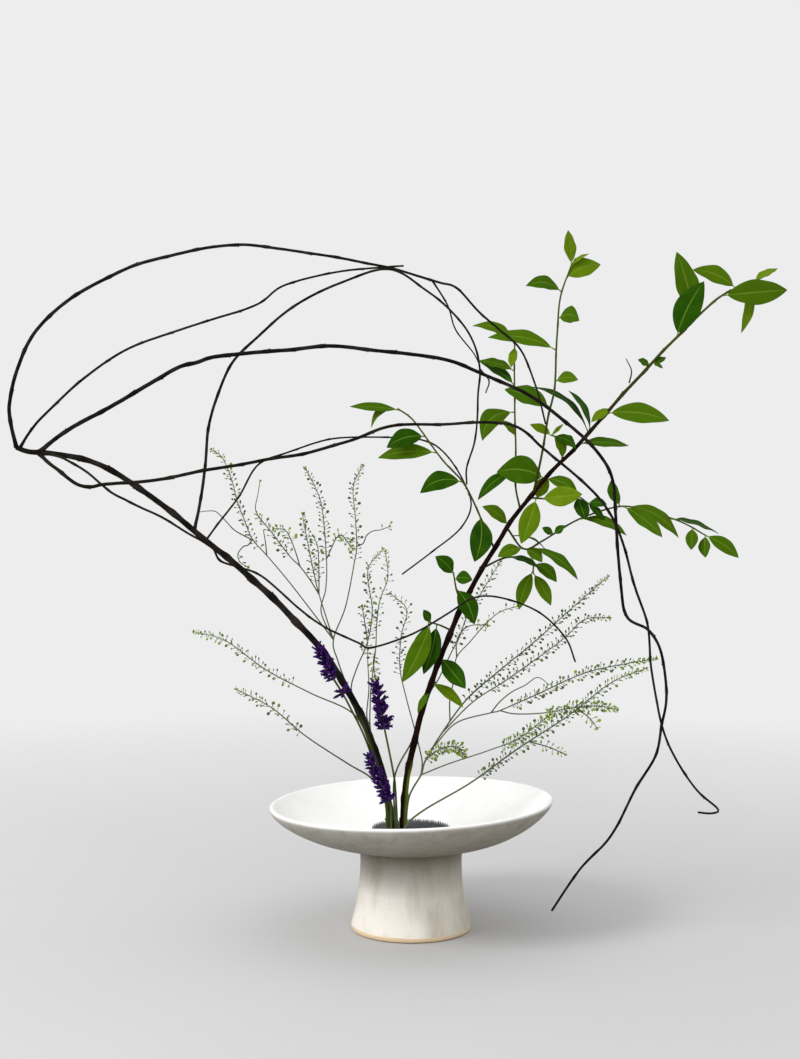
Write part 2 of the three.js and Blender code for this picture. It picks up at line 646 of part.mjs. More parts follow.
// Grows each shoot of a plant, starting just clear of the one that bears it.
function growPlant(shoots, sides, smallLeaves, material) {
  const axes = {};
  const rooms = {};
  for (const [name, { foot, parent, radius, spacing, routes }] of Object.entries(shoots)) {
    const curves = routes.map((route, i) => growingCurve(route, i === 0 && foot));
    plant(curves[0], foot, radius[0]);
    const branches = curves.map((curve, i) => {
      const ends = i ? [radius[1], radius[1]] : radius;
      return stem(curve, ends, spacing, sides);
    });
    axes[name] = curves[0].getSpacedPoints(stepsAlong(curves[0], spacing));
    const leaves = smallLeaves.filter(([shoot]) => shoot === name).map((row) => leaf(row, axes[name]));
    const whole = joined([...branches, ...leaves]);
    addPiece(name, parent ? whole.subtract(rooms[parent]) : whole, material);
    rooms[name] = roomFor(curves[0], radius, spacing, sides);
  }
  return { axes, rooms };
}

growPlant(VINE, 6, [], vineBark);
const shrub = growPlant(SHRUB, 6, SMALL_LEAVES, shrubBark);

SINGLE_LEAVES.forEach((row, i) => {
  const [shoot] = row;
  const name = `leaf_${String(i + 1).padStart(2, "0")}`;
  addPiece(name, leaf(row, shrub.axes[shoot]).subtract(shrub.rooms[shoot]), leafGreen);
});

for (const [name, stalk] of Object.entries(LAVENDER)) {
  plant(growingCurve(stalk.route, stalk.foot), stalk.foot, 1);
  addPiece(name, lavenderStalk(stalk), lavenderViolet);
}

for (const [name, { foot, routes }] of Object.entries(SPRIGS)) {
  const trunk = growingCurve(routes[0], foot);
  plant(trunk, foot, 1);
  const branches = routes.slice(1).map((route) => stem(growingCurve(route), [0.8, 0.6], 20, 4));
  addPiece(name, joined([stem(trunk, [1, 0.6], 14, 4), ...branches]), sprigGreen);
}

addPiece("pin_holder", pinHolder(planted), metal);
addPiece("footed_bowl", footedBowl(), glaze);

export default arrangement;
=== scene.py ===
"""The looks of an ikebana arrangement: a footed bowl whose pin holder carries a bent vine with
trailing shoots, a leafy shrub branch, three lavender stalks and airy sprigs of small round pods.

Lengths are in millimetres until a mesh is made, and in metres from then on: for materials, the
floor and lights. +Z is up, and the arrangement faces -Y.
"""

import math
import random

import bpy
import numpy as np
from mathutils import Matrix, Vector, noise


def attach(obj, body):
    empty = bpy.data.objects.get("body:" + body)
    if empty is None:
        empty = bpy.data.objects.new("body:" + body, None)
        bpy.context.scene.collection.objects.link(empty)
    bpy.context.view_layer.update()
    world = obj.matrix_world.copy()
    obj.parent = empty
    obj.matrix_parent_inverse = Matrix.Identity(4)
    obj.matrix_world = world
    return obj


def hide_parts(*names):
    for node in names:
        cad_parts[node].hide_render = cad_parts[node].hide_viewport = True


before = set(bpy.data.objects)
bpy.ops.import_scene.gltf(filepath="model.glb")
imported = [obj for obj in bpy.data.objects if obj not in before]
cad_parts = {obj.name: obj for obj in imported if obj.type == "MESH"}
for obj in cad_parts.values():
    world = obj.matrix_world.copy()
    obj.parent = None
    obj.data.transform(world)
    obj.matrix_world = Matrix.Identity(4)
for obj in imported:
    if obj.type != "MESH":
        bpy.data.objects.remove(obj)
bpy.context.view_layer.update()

METRES = 0.001
EYE = np.array([-10.0, -1421.0, 379.5])  # the eye that the arrangement is composed for
EYE_PITCH = 0.816  # degrees down from level
LENS = 53.68
SENSOR_WIDTH = 36

PINS_END = 83.3  # height where a stem's foot stands among the pins
STRAIGHT_LENGTH = 5

# ---------------------------------------------------------------- where everything grows
# Routes are composed on the upright plane through the bowl's axis, as the viewer sees them:
# [across, up, depth]. Each point is then moved along the viewer's line of sight to its depth,
# which is negative towards the viewer. A foot is [x, y], where a stem stands on the holder. A
# radius is [at the start, at the tip], and so is a tone: how fresh and green the bark is.

VINE = {
    "vine_cane": {"foot": [-18, -22], "radius": [3.3, 2.2], "tone": [0.0, 0.05], "routes": [[
        [-21, 115, -22], [-29, 150, -22], [-49, 199, -21], [-77, 246, -19], [-112, 285, -18],
        [-149, 320, -18], [-182, 347, -19], [-221, 379, -22], [-259, 406, -25], [-289, 421, -27],
        [-319, 427, -29], [-343, 429, -30], [-355, 433, -30],
    ]]},
    "vine_outer_arch": {"radius": [1.7, 0.8], "tone": [0.02, 0.1], "routes": [[
        [-355, 433, -30], [-360, 456, -33], [-361, 474, -36], [-354, 503, -40], [-337, 538, -46],
        [-305, 567, -52], [-254, 594, -58], [-199, 609, -60], [-157, 615, -58], [-124, 612, -54],
        [-75, 605, -44], [-23, 595, -34], [6, 587, -28], [26, 581, -24], [41, 576, -22], [60, 556, -20],
        [79, 539, -18], [99, 520, -20], [112, 488, -28], [121, 454, -36],
    ], [
        [19, 583, -25], [33, 560, -30], [40, 539, -34], [56, 518, -36], [62, 506, -32],
    ]]},
    "vine_upper_arch": {"radius": [1.2, 0.9], "tone": [0.03, 0.06], "routes": [[
        [-351, 434, -29], [-344, 445, -27], [-331, 461, -22], [-299, 491, -14], [-263, 517, -8],
        [-225, 533, -3], [-175, 549, 2], [-137, 562, 4], [-113, 579, 4], [-63, 591, 0], [-23, 595, -6],
        [-7, 596, -8],
    ]]},
    "vine_rising_arch": {"radius": [1.4, 0.8], "tone": [0.02, 0.08], "routes": [[
        [-195, 359, -20], [-189, 387, -13], [-185, 420, -4], [-182, 451, 4], [-174, 480, 12],
        [-160, 510, 18], [-137, 533, 22], [-105, 560, 22], [-63, 581, 18], [-20, 593, 12], [15, 573, 4],
        [42, 549, -4], [56, 527, -8], [62, 501, -10], [60, 479, -8], [58, 442, -4], [50, 416, 2],
        [50, 400, 4],
    ], [
        [62, 503, -10], [70, 493, -13], [67, 482, -17],
    ]]},
    "vine_middle_arch": {"radius": [1.9, 1], "tone": [0.0, 0.03], "routes": [[
        [-334, 429, -30], [-322, 439, -33], [-309, 448, -35], [-294, 457, -37], [-257, 477, -42],
        [-213, 503, -46], [-193, 509, -48], [-173, 515, -50], [-118, 520, -54], [-70, 524, -57],
        [-23, 519, -59], [27, 513, -60], [62, 500, -60], [106, 480, -60], [145, 451, -58],
        [169, 427, -55], [181, 405, -52], [184, 370, -49], [189, 307, -52], [195, 280, -55],
        [214, 268, -58], [226, 246, -57], [230, 209, -50], [226, 182, -47], [220, 155, -46],
        [202, 124, -45], [179, 81, -44], [151, 51, -42], [127, 15, -40],
    ]]},
    "vine_lower_arch": {"radius": [1.6, 0.9], "tone": [0.06, 0.03], "routes": [[
        [-334, 427, -29], [-326, 419, -33], [-317, 412, -37], [-307, 404, -40], [-298, 399, -42],
        [-287, 398, -43], [-276, 400, -45], [-236, 403, -49], [-187, 412, -50], [-136, 421, -50],
        [-95, 428, -49], [-55, 439, -48], [-19, 452, -47], [31, 454, -46], [88, 454, -46],
        [119, 432, -47], [150, 406, -50], [173, 383, -57], [187, 357, -61], [202, 307, -56],
        [213, 272, -47], [217, 230, -48], [226, 183, -57], [240, 150, -58], [258, 124, -56],
        [277, 107, -52], [271, 103, -50], [259, 104, -49],
    ]]},
    "vine_trailing_shoot": {"radius": [1.1, 0.8], "tone": [0.2, 0.03], "routes": [[
        [-324, 427, -29], [-312, 423, -36], [-293, 412, -38], [-279, 400, -37], [-269, 392, -35],
        [-257, 386, -33], [-243, 379, -31], [-224, 370, -28], [-201, 356, -24], [-180, 344, -14],
        [-172, 331, -7], [-154, 325, -6], [-134, 317, -9], [-102, 289, -14], [-77, 271, -22],
        [-47, 257, -34], [-36, 253, -38], [-1, 264, -43], [32, 283, -46], [58, 298, -48],
        [85, 297, -50], [116, 284, -54], [139, 262, -58], [148, 240, -60],
    ]]},
    "vine_slender_shoot": {"radius": [0.9, 0.7], "tone": [0.08, 0.03], "routes": [[
        [-185, 349, -19], [-174, 364, -10], [-155, 389, -2], [-138, 417, 4], [-113, 428, 8],
        [-69, 441, 12], [-18, 442, 14], [13, 439, 14], [31, 427, 13], [47, 403, 12], [54, 381, 10],
        [44, 360, 8], [20, 340, 6], [-8, 319, 4],
    ]]},
}

# A leaf is [base, tip, width, roll in degrees, sideways bow, tone]. With no roll it faces the viewer.
# Its tone goes from 0, dark and bluish, to 1, young and yellow.
SHRUB = {
    "shrub_stem": {"foot": [-7, -13], "radius": [3, 0.8], "route": [
        [-6, 117, -14], [-1, 150, -15], [13, 206, -17], [35, 265, -18], [53, 304, -18], [82, 354, -19],
        [100, 380, -20], [127, 412, -19], [149, 434, -16], [180, 469, -8], [223, 516, 6],
        [262, 555, 24], [282, 571, 34], [316, 586, 64],
    ], "leaves": [
        [[18, 222, -17], [47, 199, -28], 11, 35, 2, 0.8],
        [[122, 405, -19], [150, 391, -32], 13, 25, 4, 0.5],
        [[87, 362, -19], [64, 380, -30], 13, 30, -3, 0.6],
        [[157, 447, -13], [108, 489, -14], 13, 60, -9, 0.1],
        [[16, 215, -17], [6, 194, -26], 9, 50, 0, 0.5],
        [[124, 407, -19], [113, 388, -8], 13, 20, 0, 0.9],
        [[160, 449, -13], [141, 484, -18], 12, 55, -5, 0.25],
        [[180, 468, -8], [162, 456, -16], 9, 25, -1, 0.85],
        [[215, 508, 3], [204, 512, -2], 8, 30, 0, 0.4],
        [[216, 509, 3], [229, 514, 8], 8, 40, 0, 0.4],
        [[217, 510, 4], [226, 504, -4], 6, 40, 0, 0.4],
        [[306, 581, 52], [296, 536, 50], 11, 40, 4, 0.75],
        [[308, 580, 58], [329, 594, 66], 11, 50, 1, 0.85],
    ]},
    "shrub_left_shoot": {"radius": [0.9, 0.7], "route": [
        [75, 342, -19], [62, 371, -23], [48, 400, -26], [28, 422, -28], [3, 456, -30], [-12, 468, -33],
    ], "leaves": [
        [[-10, 466, -33], [-55, 470, -44], 10, 35, -1, 0.5],
        [[-10, 466, -33], [-36, 451, -38], 9, 45, -8, 0.6],
    ]},
    "shrub_middle_shoot": {"radius": [0.9, 0.7], "route": [
        [98, 378, -20], [94, 400, -14], [94, 440, -8], [93, 475, -4], [93, 526, 0],
    ], "leaves": [
        [[93, 503, -2], [61, 511, 4], 13, 45, -2, 0.5],
        [[93, 488, -3], [61, 511, 14], 12, 35, -3, 0.3],
        [[93, 413, -12], [60, 386, -18], 11, 20, -4, 0.35],
        [[93, 524, 0], [90, 505, -8], 9, 30, 0, 0.9],
        [[94, 442, -8], [81, 457, -14], 8, 30, -2, 0.7],
    ]},
    "shrub_top_shoot": {"radius": [1.1, 0.7], "route": [
        [110, 392, -20], [113, 404, -27], [117, 424, -29], [123, 459, -28], [129, 488, -22],
        [131, 533, -15], [134, 567, -12], [144, 597, -8],
    ], "leaves": [
        [[140, 584, -9], [170, 597, -2], 19, 15, 4, 0.75],
        [[135, 572, -12], [103, 578, -20], 15, 30, -6, 0.45],
        [[133, 549, -14], [151, 547, -22], 16, 10, 5, 0.5],
        [[130, 492, -22], [150, 494, -28], 12, 25, 3, 0.6],
        [[143, 594, -8], [160, 607, -4], 6, 50, 2, 0.85],
    ]},
    "shrub_right_shoot": {"radius": [0.9, 0.7], "route": [
        [106, 388, -20], [120, 387, -24], [134, 386, -26], [149, 389, -28], [159, 383, -30],
    ], "leaves": [
        [[149, 388, -28], [157, 368, -40], 14, 15, 0, 0.15],
        [[159, 383, -30], [176, 382, -38], 10, 30, 1, 0.3],
        [[159, 383, -30], [174, 369, -34], 10, 45, 0, 0.2],
    ]},
    "shrub_star_shoot": {"radius": [0.8, 0.7], "route": [
        [136, 423, -18], [136, 433, -19], [131, 442, -20], [126, 444, -20],
    ], "leaves": [
        [[126, 444, -20], [107, 454, -14], 10, 30, -1, 0.75],
        [[128, 443, -20], [148, 432, -28], 12, 35, 3, 0.3],
        [[126, 444, -20], [137, 454, -24], 6, 55, 0, 0.8],
        [[128, 443, -20], [136, 424, -26], 11, 30, 3, 0.6],
    ]},
    "shrub_arching_shoot": {"radius": [0.9, 0.7], "route": [
        [86, 361, -19], [101, 342, -26], [118, 349, -28], [152, 369, -30], [188, 380, -31],
        [215, 375, -31], [241, 367, -31], [265, 354, -33],
    ], "leaves": [
        [[189, 380, -31], [181, 405, -26], 12, 25, 3, 0.4],
        [[253, 362, -32], [252, 341, -42], 11, 10, 0, 0.5],
        [[100, 343, -26], [78, 335, -31], 12, 25, -2, 0.6],
        [[102, 342, -26], [118, 330, -34], 12, 30, 2, 0.55],
        [[266, 354, -33], [265, 334, -38], 11, 30, -1, 0.5],
        [[234, 370, -31], [277, 356, -20], 15, 70, 2, 0.15],
        [[92, 354, -22], [123, 339, -12], 8, 75, 5, 0.3],
        [[129, 355, -28], [118, 361, -33], 7, 20, 0, 0.3],
        [[129, 355, -28], [138, 363, -34], 7, 20, 0, 0.35],
    ]},
    "shrub_hanging_shoot": {"radius": [0.9, 0.7], "route": [
        [65, 325, -18], [86, 334, -13], [108, 332, -8], [110, 320, -6],
    ], "leaves": [
        [[87, 335, -13], [115, 325, -26], 11, 60, 3, 0.15],
    ]},
    "shrub_low_shoot": {"radius": [0.9, 0.7], "route": [
        [46, 291, -18], [41, 305, -24], [38, 321, -28],
    ], "leaves": [
        [[39, 318, -27], [22, 335, -36], 14, 15, -2, 0.3],
        [[39, 315, -26], [55, 314, -34], 12, 10, 2, 0.35],
    ]},
    "shrub_fan_shoot": {"radius": [0.9, 0.7], "route": [
        [37, 268, -18], [26, 273, -24], [16, 276, -30],
    ], "leaves": [
        [[16, 276, -30], [-4, 237, -14], 14, 20, 3, 0.2],
        [[18, 276, -30], [11, 287, -36], 8, 20, 0, 0.3],
    ]},
}

# Each route of a sprig has its pods: the shares of the route where they begin and end, the distance
# between them, and their tone, which is low for ripe dark pods and 1 for young yellow ones. None
# is a bare route.
SPRIGS = {
    "sprig_low_left": {"foot": [-16, 4], "routes": [[
        [-23, 124, 4], [-36, 162, 9], [-52, 193, 14], [-91, 212, 22], [-131, 233, 36], [-167, 259, 48],
        [-195, 267, 58],
    ]], "pods": [(0.62, 1, 1.5, 0.7)]},
    "sprig_mid_left": {"foot": [-19, -9], "routes": [[
        [-22, 115, -9], [-36, 135, -13], [-57, 148, -24], [-95, 173, -42], [-125, 198, -56],
        [-157, 215, -68],
    ]], "pods": [(0.66, 1, 1.5, 0.6)]},
    "sprig_tall_left": {"foot": [-16, -5], "routes": [[
        [-21, 116, -7], [-29, 150, -6], [-43, 187, -2], [-57, 217, 5], [-66, 241, 13], [-70, 260, 20],
        [-59, 290, 30], [-51, 330, 40], [-49, 344, 44], [-50, 368, 49], [-52, 398, 58], [-44, 416, 62],
    ], [
        [-70, 260, 20], [-81, 285, 30], [-77, 305, 34], [-76, 327, 46], [-78, 359, 56], [-81, 383, 64],
        [-87, 399, 70], [-95, 414, 76],
    ], [
        [-70, 260, 20], [-83, 301, 36], [-87, 318, 42], [-90, 332, 47], [-97, 368, 54], [-97, 373, 56],
    ], [
        [-83, 301, 36], [-91, 314, 35], [-100, 326, 34], [-109, 335, 33], [-125, 356, 31],
        [-134, 367, 30], [-140, 377, 29], [-138, 390, 27], [-136, 402, 26],
    ], [
        [-70, 260, 20], [-95, 293, 22], [-113, 316, 23], [-130, 336, 24], [-141, 348, 28],
        [-146, 357, 31], [-150, 368, 34], [-156, 383, 39], [-162, 406, 46], [-170, 424, 51],
        [-179, 431, 54],
    ], [
        [-49, 344, 44], [-43, 347, 41], [-40, 354, 38], [-34, 358, 36], [-27, 359, 34], [-20, 362, 32],
    ], [
        [-100, 326, 34], [-104, 339, 38], [-109, 352, 42], [-114, 359, 43], [-123, 360, 42],
    ], [
        [-143, 350, 28], [-158, 358, 25], [-166, 366, 22], [-175, 375, 20], [-182, 376, 19],
        [-191, 375, 18],
    ], [
        [-76, 333, 48], [-71, 344, 50], [-67, 352, 52], [-62, 354, 53], [-58, 349, 54], [-53, 342, 55],
    ], [
        [-130, 336, 24], [-131, 347, 22], [-133, 359, 18],
    ], [
        [-143, 350, 28], [-147, 345, 27], [-151, 344, 25], [-156, 337, 23], [-154, 330, 21],
        [-148, 326, 20],
    ], [
        [-83, 301, 36], [-83, 323, 46], [-84, 343, 54], [-88, 353, 58],
    ]], "pods": [
        (0.74, 1, 1.7, 0.5), (0.46, 1, 1.6, 0.5), (0.45, 1, 1.5, 0.45), (0.36, 0.76, 1.2, 0.6),
        (0.5, 1, 1.6, 0.55), (0.8, 1, 4.0, 0.7), (0.5, 1, 1.0, 0.95), None, (0.4, 1, 0.9, 1.0), None,
        (0.55, 1, 2.2, 0.7), (0.3, 1, 2.4, 0.65),
    ]},
    "sprig_middle": {"foot": [-12, -4], "routes": [[
        [-21, 124, -1], [-34, 162, 4], [-48, 195, 9], [-54, 215, 13], [-49, 234, 17], [-39, 259, 22],
        [-35, 287, 28], [-39, 322, 36], [-26, 341, 40],
    ], [
        [-34, 162, 4], [-37, 182, 8], [-37, 198, 10], [-36, 218, 12], [-32, 251, 12], [-31, 274, 12],
        [-28, 296, 10], [-21, 316, 8], [-23, 339, 6],
    ], [
        [-39, 259, 22], [-44, 289, 28],
    ], [
        [-37, 182, 8], [-40, 192, 5], [-38, 216, 2], [-39, 240, 2], [-39, 262, 4],
    ], [
        [-32, 251, 12], [-34, 239, 8], [-32, 226, 6],
    ]], "pods": [
        (0.62, 1, 1.7, 0.6), (0.6, 1, 2.2, 0.7), (0.4, 1, 1.6, 0.5), None, (0.1, 1, 1.1, 0.85),
    ]},
    "sprig_inner": {"foot": [-13, -12], "routes": [[
        [-15, 135, -11], [2, 171, -8], [15, 208, 0], [25, 225, 8], [37, 250, 12], [43, 261, 16],
        [50, 280, 20], [63, 302, 24], [74, 320, 28], [80, 330, 30],
    ]], "pods": [(0.66, 1, 1.7, 0.35)]},
    "sprig_right": {"foot": [-5, -23], "routes": [[
        [-2, 117, -24], [9, 138, -26], [13, 151, -27], [28, 176, -26], [50, 206, -14], [77, 230, 4],
        [110, 257, 26], [141, 285, 46], [177, 317, 66],
    ], [
        [28, 176, -26], [56, 204, -22], [88, 225, -14], [135, 259, 0], [156, 278, 6], [178, 280, 12],
    ], [
        [21, 164, -27], [41, 185, -28], [72, 194, -26], [80, 196, -25], [112, 210, -20],
        [160, 231, -10], [220, 243, 4],
    ], [
        [80, 196, -25], [94, 193, -32], [121, 194, -42], [148, 199, -52], [170, 200, -58],
        [185, 197, -62],
    ], [
        [9, 138, -26], [34, 148, -36], [70, 160, -50], [97, 171, -60], [125, 192, -72],
    ], [
        [13, 151, -27], [22, 159, -22], [33, 163, -17], [42, 163, -14], [48, 155, -12],
    ], [
        [35, 187, -22], [35, 206, -16], [39, 226, -6], [41, 244, 2], [53, 258, 8], [67, 274, 14],
        [80, 285, 20], [95, 290, 26],
    ], [
        [9, 138, -26], [10, 149, -20], [8, 160, -10], [3, 180, 2], [-4, 206, 6], [-10, 234, 8],
        [-9, 263, 10], [-4, 287, 12], [-18, 301, 14],
    ], [
        [72, 194, -26], [80, 204, -29], [91, 213, -32], [103, 219, -35], [114, 226, -38],
        [125, 219, -42],
    ], [
        [41, 244, 2], [41, 258, 6], [46, 268, 10], [55, 273, 14], [68, 273, 18],
    ]], "pods": [
        (0.42, 1, 1.35, 0.45), (0.3, 1, 1.35, 0.45), (0.36, 1, 1.05, 0.65), (0.4, 1, 0.65, 0.85),
        (0.6, 1, 0.65, 0.8), (0.02, 1, 0.4, 0.85), (0.66, 1, 3.2, 0.7), (0.55, 1, 1.7, 0.5), None,
        (0.8, 1, 1.6, 0.9),
    ]},
    "sprig_low_right": {"foot": [-7, -32], "routes": [[
        [-4, 93, -34], [13, 107, -38], [54, 131, -48], [94, 160, -60], [141, 191, -74], [180, 221, -86],
        [211, 234, -94],
    ], [
        [106, 168, -64], [124, 163, -70], [138, 157, -74],
    ], [
        [150, 198, -77], [161, 189, -82], [167, 181, -85],
    ]], "pods": [
        (0.36, 1, 1.2, 0.6), (0.3, 1, 1.6, 0.85), (0.3, 1, 1.6, 0.85),
    ]},
}

# The last three points of a lavender stalk carry its flower spike, and the stalk stops short of the last.
# The whorls' places are shares of the spike's length.
LAVENDER = {
    "lavender_left": {"foot": [-20, -16], "route": [
        [-23, 116, -17], [-37, 159, -20], [-44, 177, -22], [-53, 195, -27], [-62, 212, -33],
        [-72, 228, -35], [-84, 253, -35],
    ], "whorls": [
        0.03, 0.36, 0.46, 0.56, 0.66, 0.76, 0.86, 0.95,
    ]},
    "lavender_middle": {"foot": [-12, -31], "route": [
        [-14, 122, -31], [-16, 140, -32], [-24, 180, -36], [-28, 202, -37], [-33, 221, -37],
    ], "whorls": [
        0.05, 0.17, 0.32, 0.43, 0.54, 0.65, 0.76, 0.87, 0.96,
    ]},
    "lavender_low": {"foot": [-18, -34], "route": [
        [-18, 105, -37], [-20, 115, -39], [-29, 134, -41], [-38, 155, -42],
    ], "whorls": [
        0.04, 0.15, 0.26, 0.37, 0.48, 0.59, 0.7, 0.82, 0.94,
    ]},
}

# The largest leaves, each a solid of its own in the CAD model: its shoot, and the leaf as above.
SINGLE_LEAVES = [
    ["shrub_top_shoot", [144, 597, -8], [141, 628, -6], 12, 20, 0, 0.8],
    ["shrub_top_shoot", [131, 521, -16], [69, 533, -8], 16, 30, -5, 0.55],
    ["shrub_top_shoot", [125, 469, -26], [84, 485, -12], 18, 20, -3, 0.45],
    ["shrub_middle_shoot", [93, 525, 0], [55, 542, 6], 13, 35, -7, 0.6],
    ["shrub_middle_shoot", [93, 465, -6], [64, 439, -16], 19, 20, -10, 0.5],
    ["shrub_left_shoot", [12, 443, -29], [-22, 433, -34], 17, 15, -4, 0.25],
    ["shrub_left_shoot", [23, 428, -28], [-30, 424, -22], 15, 25, -3, 0.55],
    ["shrub_left_shoot", [47, 401, -26], [8, 392, -36], 17, 10, -7, 0.3],
    ["shrub_left_shoot", [65, 373, -23], [57, 330, -40], 20, 0, 4, 0.15],
    ["shrub_low_shoot", [41, 307, -23], [57, 274, -36], 17, 10, 3, 0.2],
    ["shrub_fan_shoot", [18, 275, -29], [-8, 222, -46], 18, 10, 2, 0.55],
    ["shrub_fan_shoot", [23, 273, -26], [11, 229, -38], 16, 15, 2, 0.1],
    ["shrub_stem", [25, 246, -18], [49, 216, -34], 17, 15, 0, 0.3],
    ["shrub_right_shoot", [117, 388, -24], [154, 391, -42], 18, 10, 0, 0.85],
    ["shrub_arching_shoot", [152, 369, -30], [194, 354, -37], 12, 40, 5, 0.5],
    ["shrub_arching_shoot", [190, 380, -31], [226, 352, -54], 14, 20, 3, 0.5],
    ["shrub_arching_shoot", [193, 380, -31], [241, 352, -34], 15, 35, 7, 0.55],
    ["shrub_arching_shoot", [265, 355, -33], [295, 334, -42], 13, 15, 2, 0.5],
    ["shrub_arching_shoot", [109, 345, -27], [150, 314, -42], 13, 45, 5, 0.45],
    ["shrub_hanging_shoot", [110, 328, -7], [131, 312, -18], 12, 15, 3, 0.5],
    ["shrub_hanging_shoot", [110, 322, -6], [97, 287, -22], 13, 10, -2, 0.55],
    ["shrub_hanging_shoot", [110, 321, -6], [126, 291, -16], 12, 10, 1, 0.6],
    ["shrub_right_shoot", [112, 388, -22], [99, 347, -40], 18, 10, 1, 0.7],
    ["shrub_stem", [121, 405, -19], [77, 411, -20], 26, 10, -5, 0.45],
    ["shrub_stem", [152, 435, -15], [196, 435, -4], 13, 45, 2, 0.45],
    ["shrub_stem", [176, 464, -9], [232, 457, -22], 19, 15, 4, 0.55],
    ["shrub_stem", [256, 549, 20], [239, 609, 24], 22, 10, -1, 0.5],
    ["shrub_stem", [238, 531, 12], [263, 582, -4], 24, 5, 3, 0.3],
    ["shrub_stem", [291, 576, 42], [253, 593, 42], 18, 20, -4, 0.6],
    ["shrub_stem", [279, 567, 34], [339, 575, 54], 24, 5, 0, 0.55],
]

# A bare sprout on the shrub's stem, in the looks only.
SPROUT = [[196, 491, 0], [198, 502, -3], [193, 513, -5]]

# ---------------------------------------------------------------- lines and shells

SPLINE_STEPS = 24  # between two points of a route, before its points are evenly spaced
LUMP_RINGS = 4
ROOT_CAP = 0.3  # how far a bar's ends stand out of its last rings, as shares of their radius
TIP_CAP = 0.6


def place(point):
    """A point of the composing plane, moved along the viewer's line of sight to its depth."""
    across, up, depth = point
    reach = 1 - depth / EYE[1]
    return np.array([
        EYE[0] + (across - EYE[0]) * reach,
        depth,
        EYE[2] + (up - EYE[2]) * reach,
    ])


def distances_along(line):
    """How far along a line each of its points is."""
    stretches = np.linalg.norm(np.diff(line, axis=0), axis=1)
    return np.concatenate([[0], np.cumsum(stretches)])


def resample(line, step):
    """Points evenly spaced along a line, about step apart."""
    distances = distances_along(line)
    count = max(2, round(distances[-1] / step))
    marks = np.linspace(0, distances[-1], count + 1)
    return np.column_stack([np.interp(marks, distances, line[:, axis]) for axis in range(3)])


def spline(points, step):
    """A smooth curve through the points, as evenly spaced points."""
    points = np.asarray(points, float)
    before = 2 * points[0] - points[1]
    after = 2 * points[-1] - points[-2]
    p = np.vstack([before, points, after])
    t = np.linspace(0, 1, SPLINE_STEPS, endpoint=False)[:, None]
    parts = [
        b + 0.5 * t * (c - a) + t**2 * (a - 2.5 * b + 2 * c - 0.5 * d)
        + t**3 * (1.5 * (b - c) + 0.5 * (d - a))
        for a, b, c, d in zip(p, p[1:], p[2:], p[3:])
    ]
    return resample(np.vstack([*parts, points[-1:]]), step)


def growing_line(route, foot, step):
    """The line of a shoot. One with a foot stands upright among the pins at first."""
    points = [place(point) for point in route]
    if foot:
        start = np.array([*foot, PINS_END])
        points = [start, start + [0, 0, STRAIGHT_LENGTH], *points]
    return spline(points, step)


def unit(vector):
    return vector / np.linalg.norm(vector)


def turned(first, second, angle):
    """The direction at an angle from the first of two square directions, towards the second."""
    return math.cos(angle) * first + math.sin(angle) * second


def circle(count):
    """Angles evenly spaced all the way round."""
    return np.arange(count) * 2 * math.pi / count


def carried_frames(line):
    """Along each point of a line: its direction and two directions square to it, never twisting."""
    tangents = np.gradient(line, axis=0)
    tangents /= np.linalg.norm(tangents, axis=1)[:, None]
    spare = np.eye(3)[np.argmin(np.abs(tangents[0]))]
    normal = np.cross(tangents[0], spare)
    normals = []
    for tangent in tangents:
        normal = unit(normal - tangent * (normal @ tangent))
        normals.append(normal)
    normals = np.array(normals)
    return tangents, normals, np.cross(tangents, normals)


class Shells:
    """Closed shells gathered into one piece, with numbers at each point for its materials."""

    MARKS = ("tone", "along", "side")

    def __init__(self):
        self.points = []
        self.faces = []
        self.material_of = []
        self.marks = {name: [] for name in self.MARKS}
        self.count = 0

    def add(self, points, faces, material=0, **marks):
        self.points.append(points)
        for face in faces:
            self.faces.append([corner + self.count for corner in face])
        self.material_of += [material] * len(faces)
        for name in self.MARKS:
            values = np.broadcast_to(marks.get(name, 0.0), len(points))
            self.marks[name].append(values)
        self.count += len(points)

    def to_object(self, name, *materials):
        mesh = bpy.data.meshes.new(name)
        corners = np.vstack(self.points) * METRES
        mesh.from_pydata(corners.tolist(), [], self.faces)
        for material in materials:
            mesh.materials.append(material)
        mesh.polygons.foreach_set("material_index", self.material_of)
        for mark, values in self.marks.items():
            attribute = mesh.attributes.new(mark, "FLOAT", "POINT")
            attribute.data.foreach_set("value", np.concatenate(values).astype(np.float32))
        mesh.shade_smooth()
        mesh.update()
        piece = bpy.data.objects.new(name, mesh)
        bpy.context.collection.objects.link(piece)
        return piece


def ring_faces(rings, sides):
    """Faces of a bar made of rings of points, followed by one point at each end."""
    faces = []
    for ring in range(rings - 1):
        low, high = ring * sides, (ring + 1) * sides
        for side in range(sides):
            turn = (side + 1) % sides
            faces.append([low + side, low + turn, high + turn, high + side])
    first, last = rings * sides, rings * sides + 1
    top = (rings - 1) * sides
    for side in range(sides):
        turn = (side + 1) % sides
        faces.append([first, turn, side])
        faces.append([last, top + side, top + turn])
    return faces


def bar(line, frames, aside, across, start, end):
    """A closed bar of rings round a line's points. Its corners stand aside and across from them."""
    _, normals, crosswise = frames
    rings = (
        line[:, None, :]
        + aside[:, :, None] * normals[:, None, :]
        + across[:, :, None] * crosswise[:, None, :]
    )
    points = np.vstack([rings.reshape(-1, 3), start, end])
    return points, ring_faces(*aside.shape)


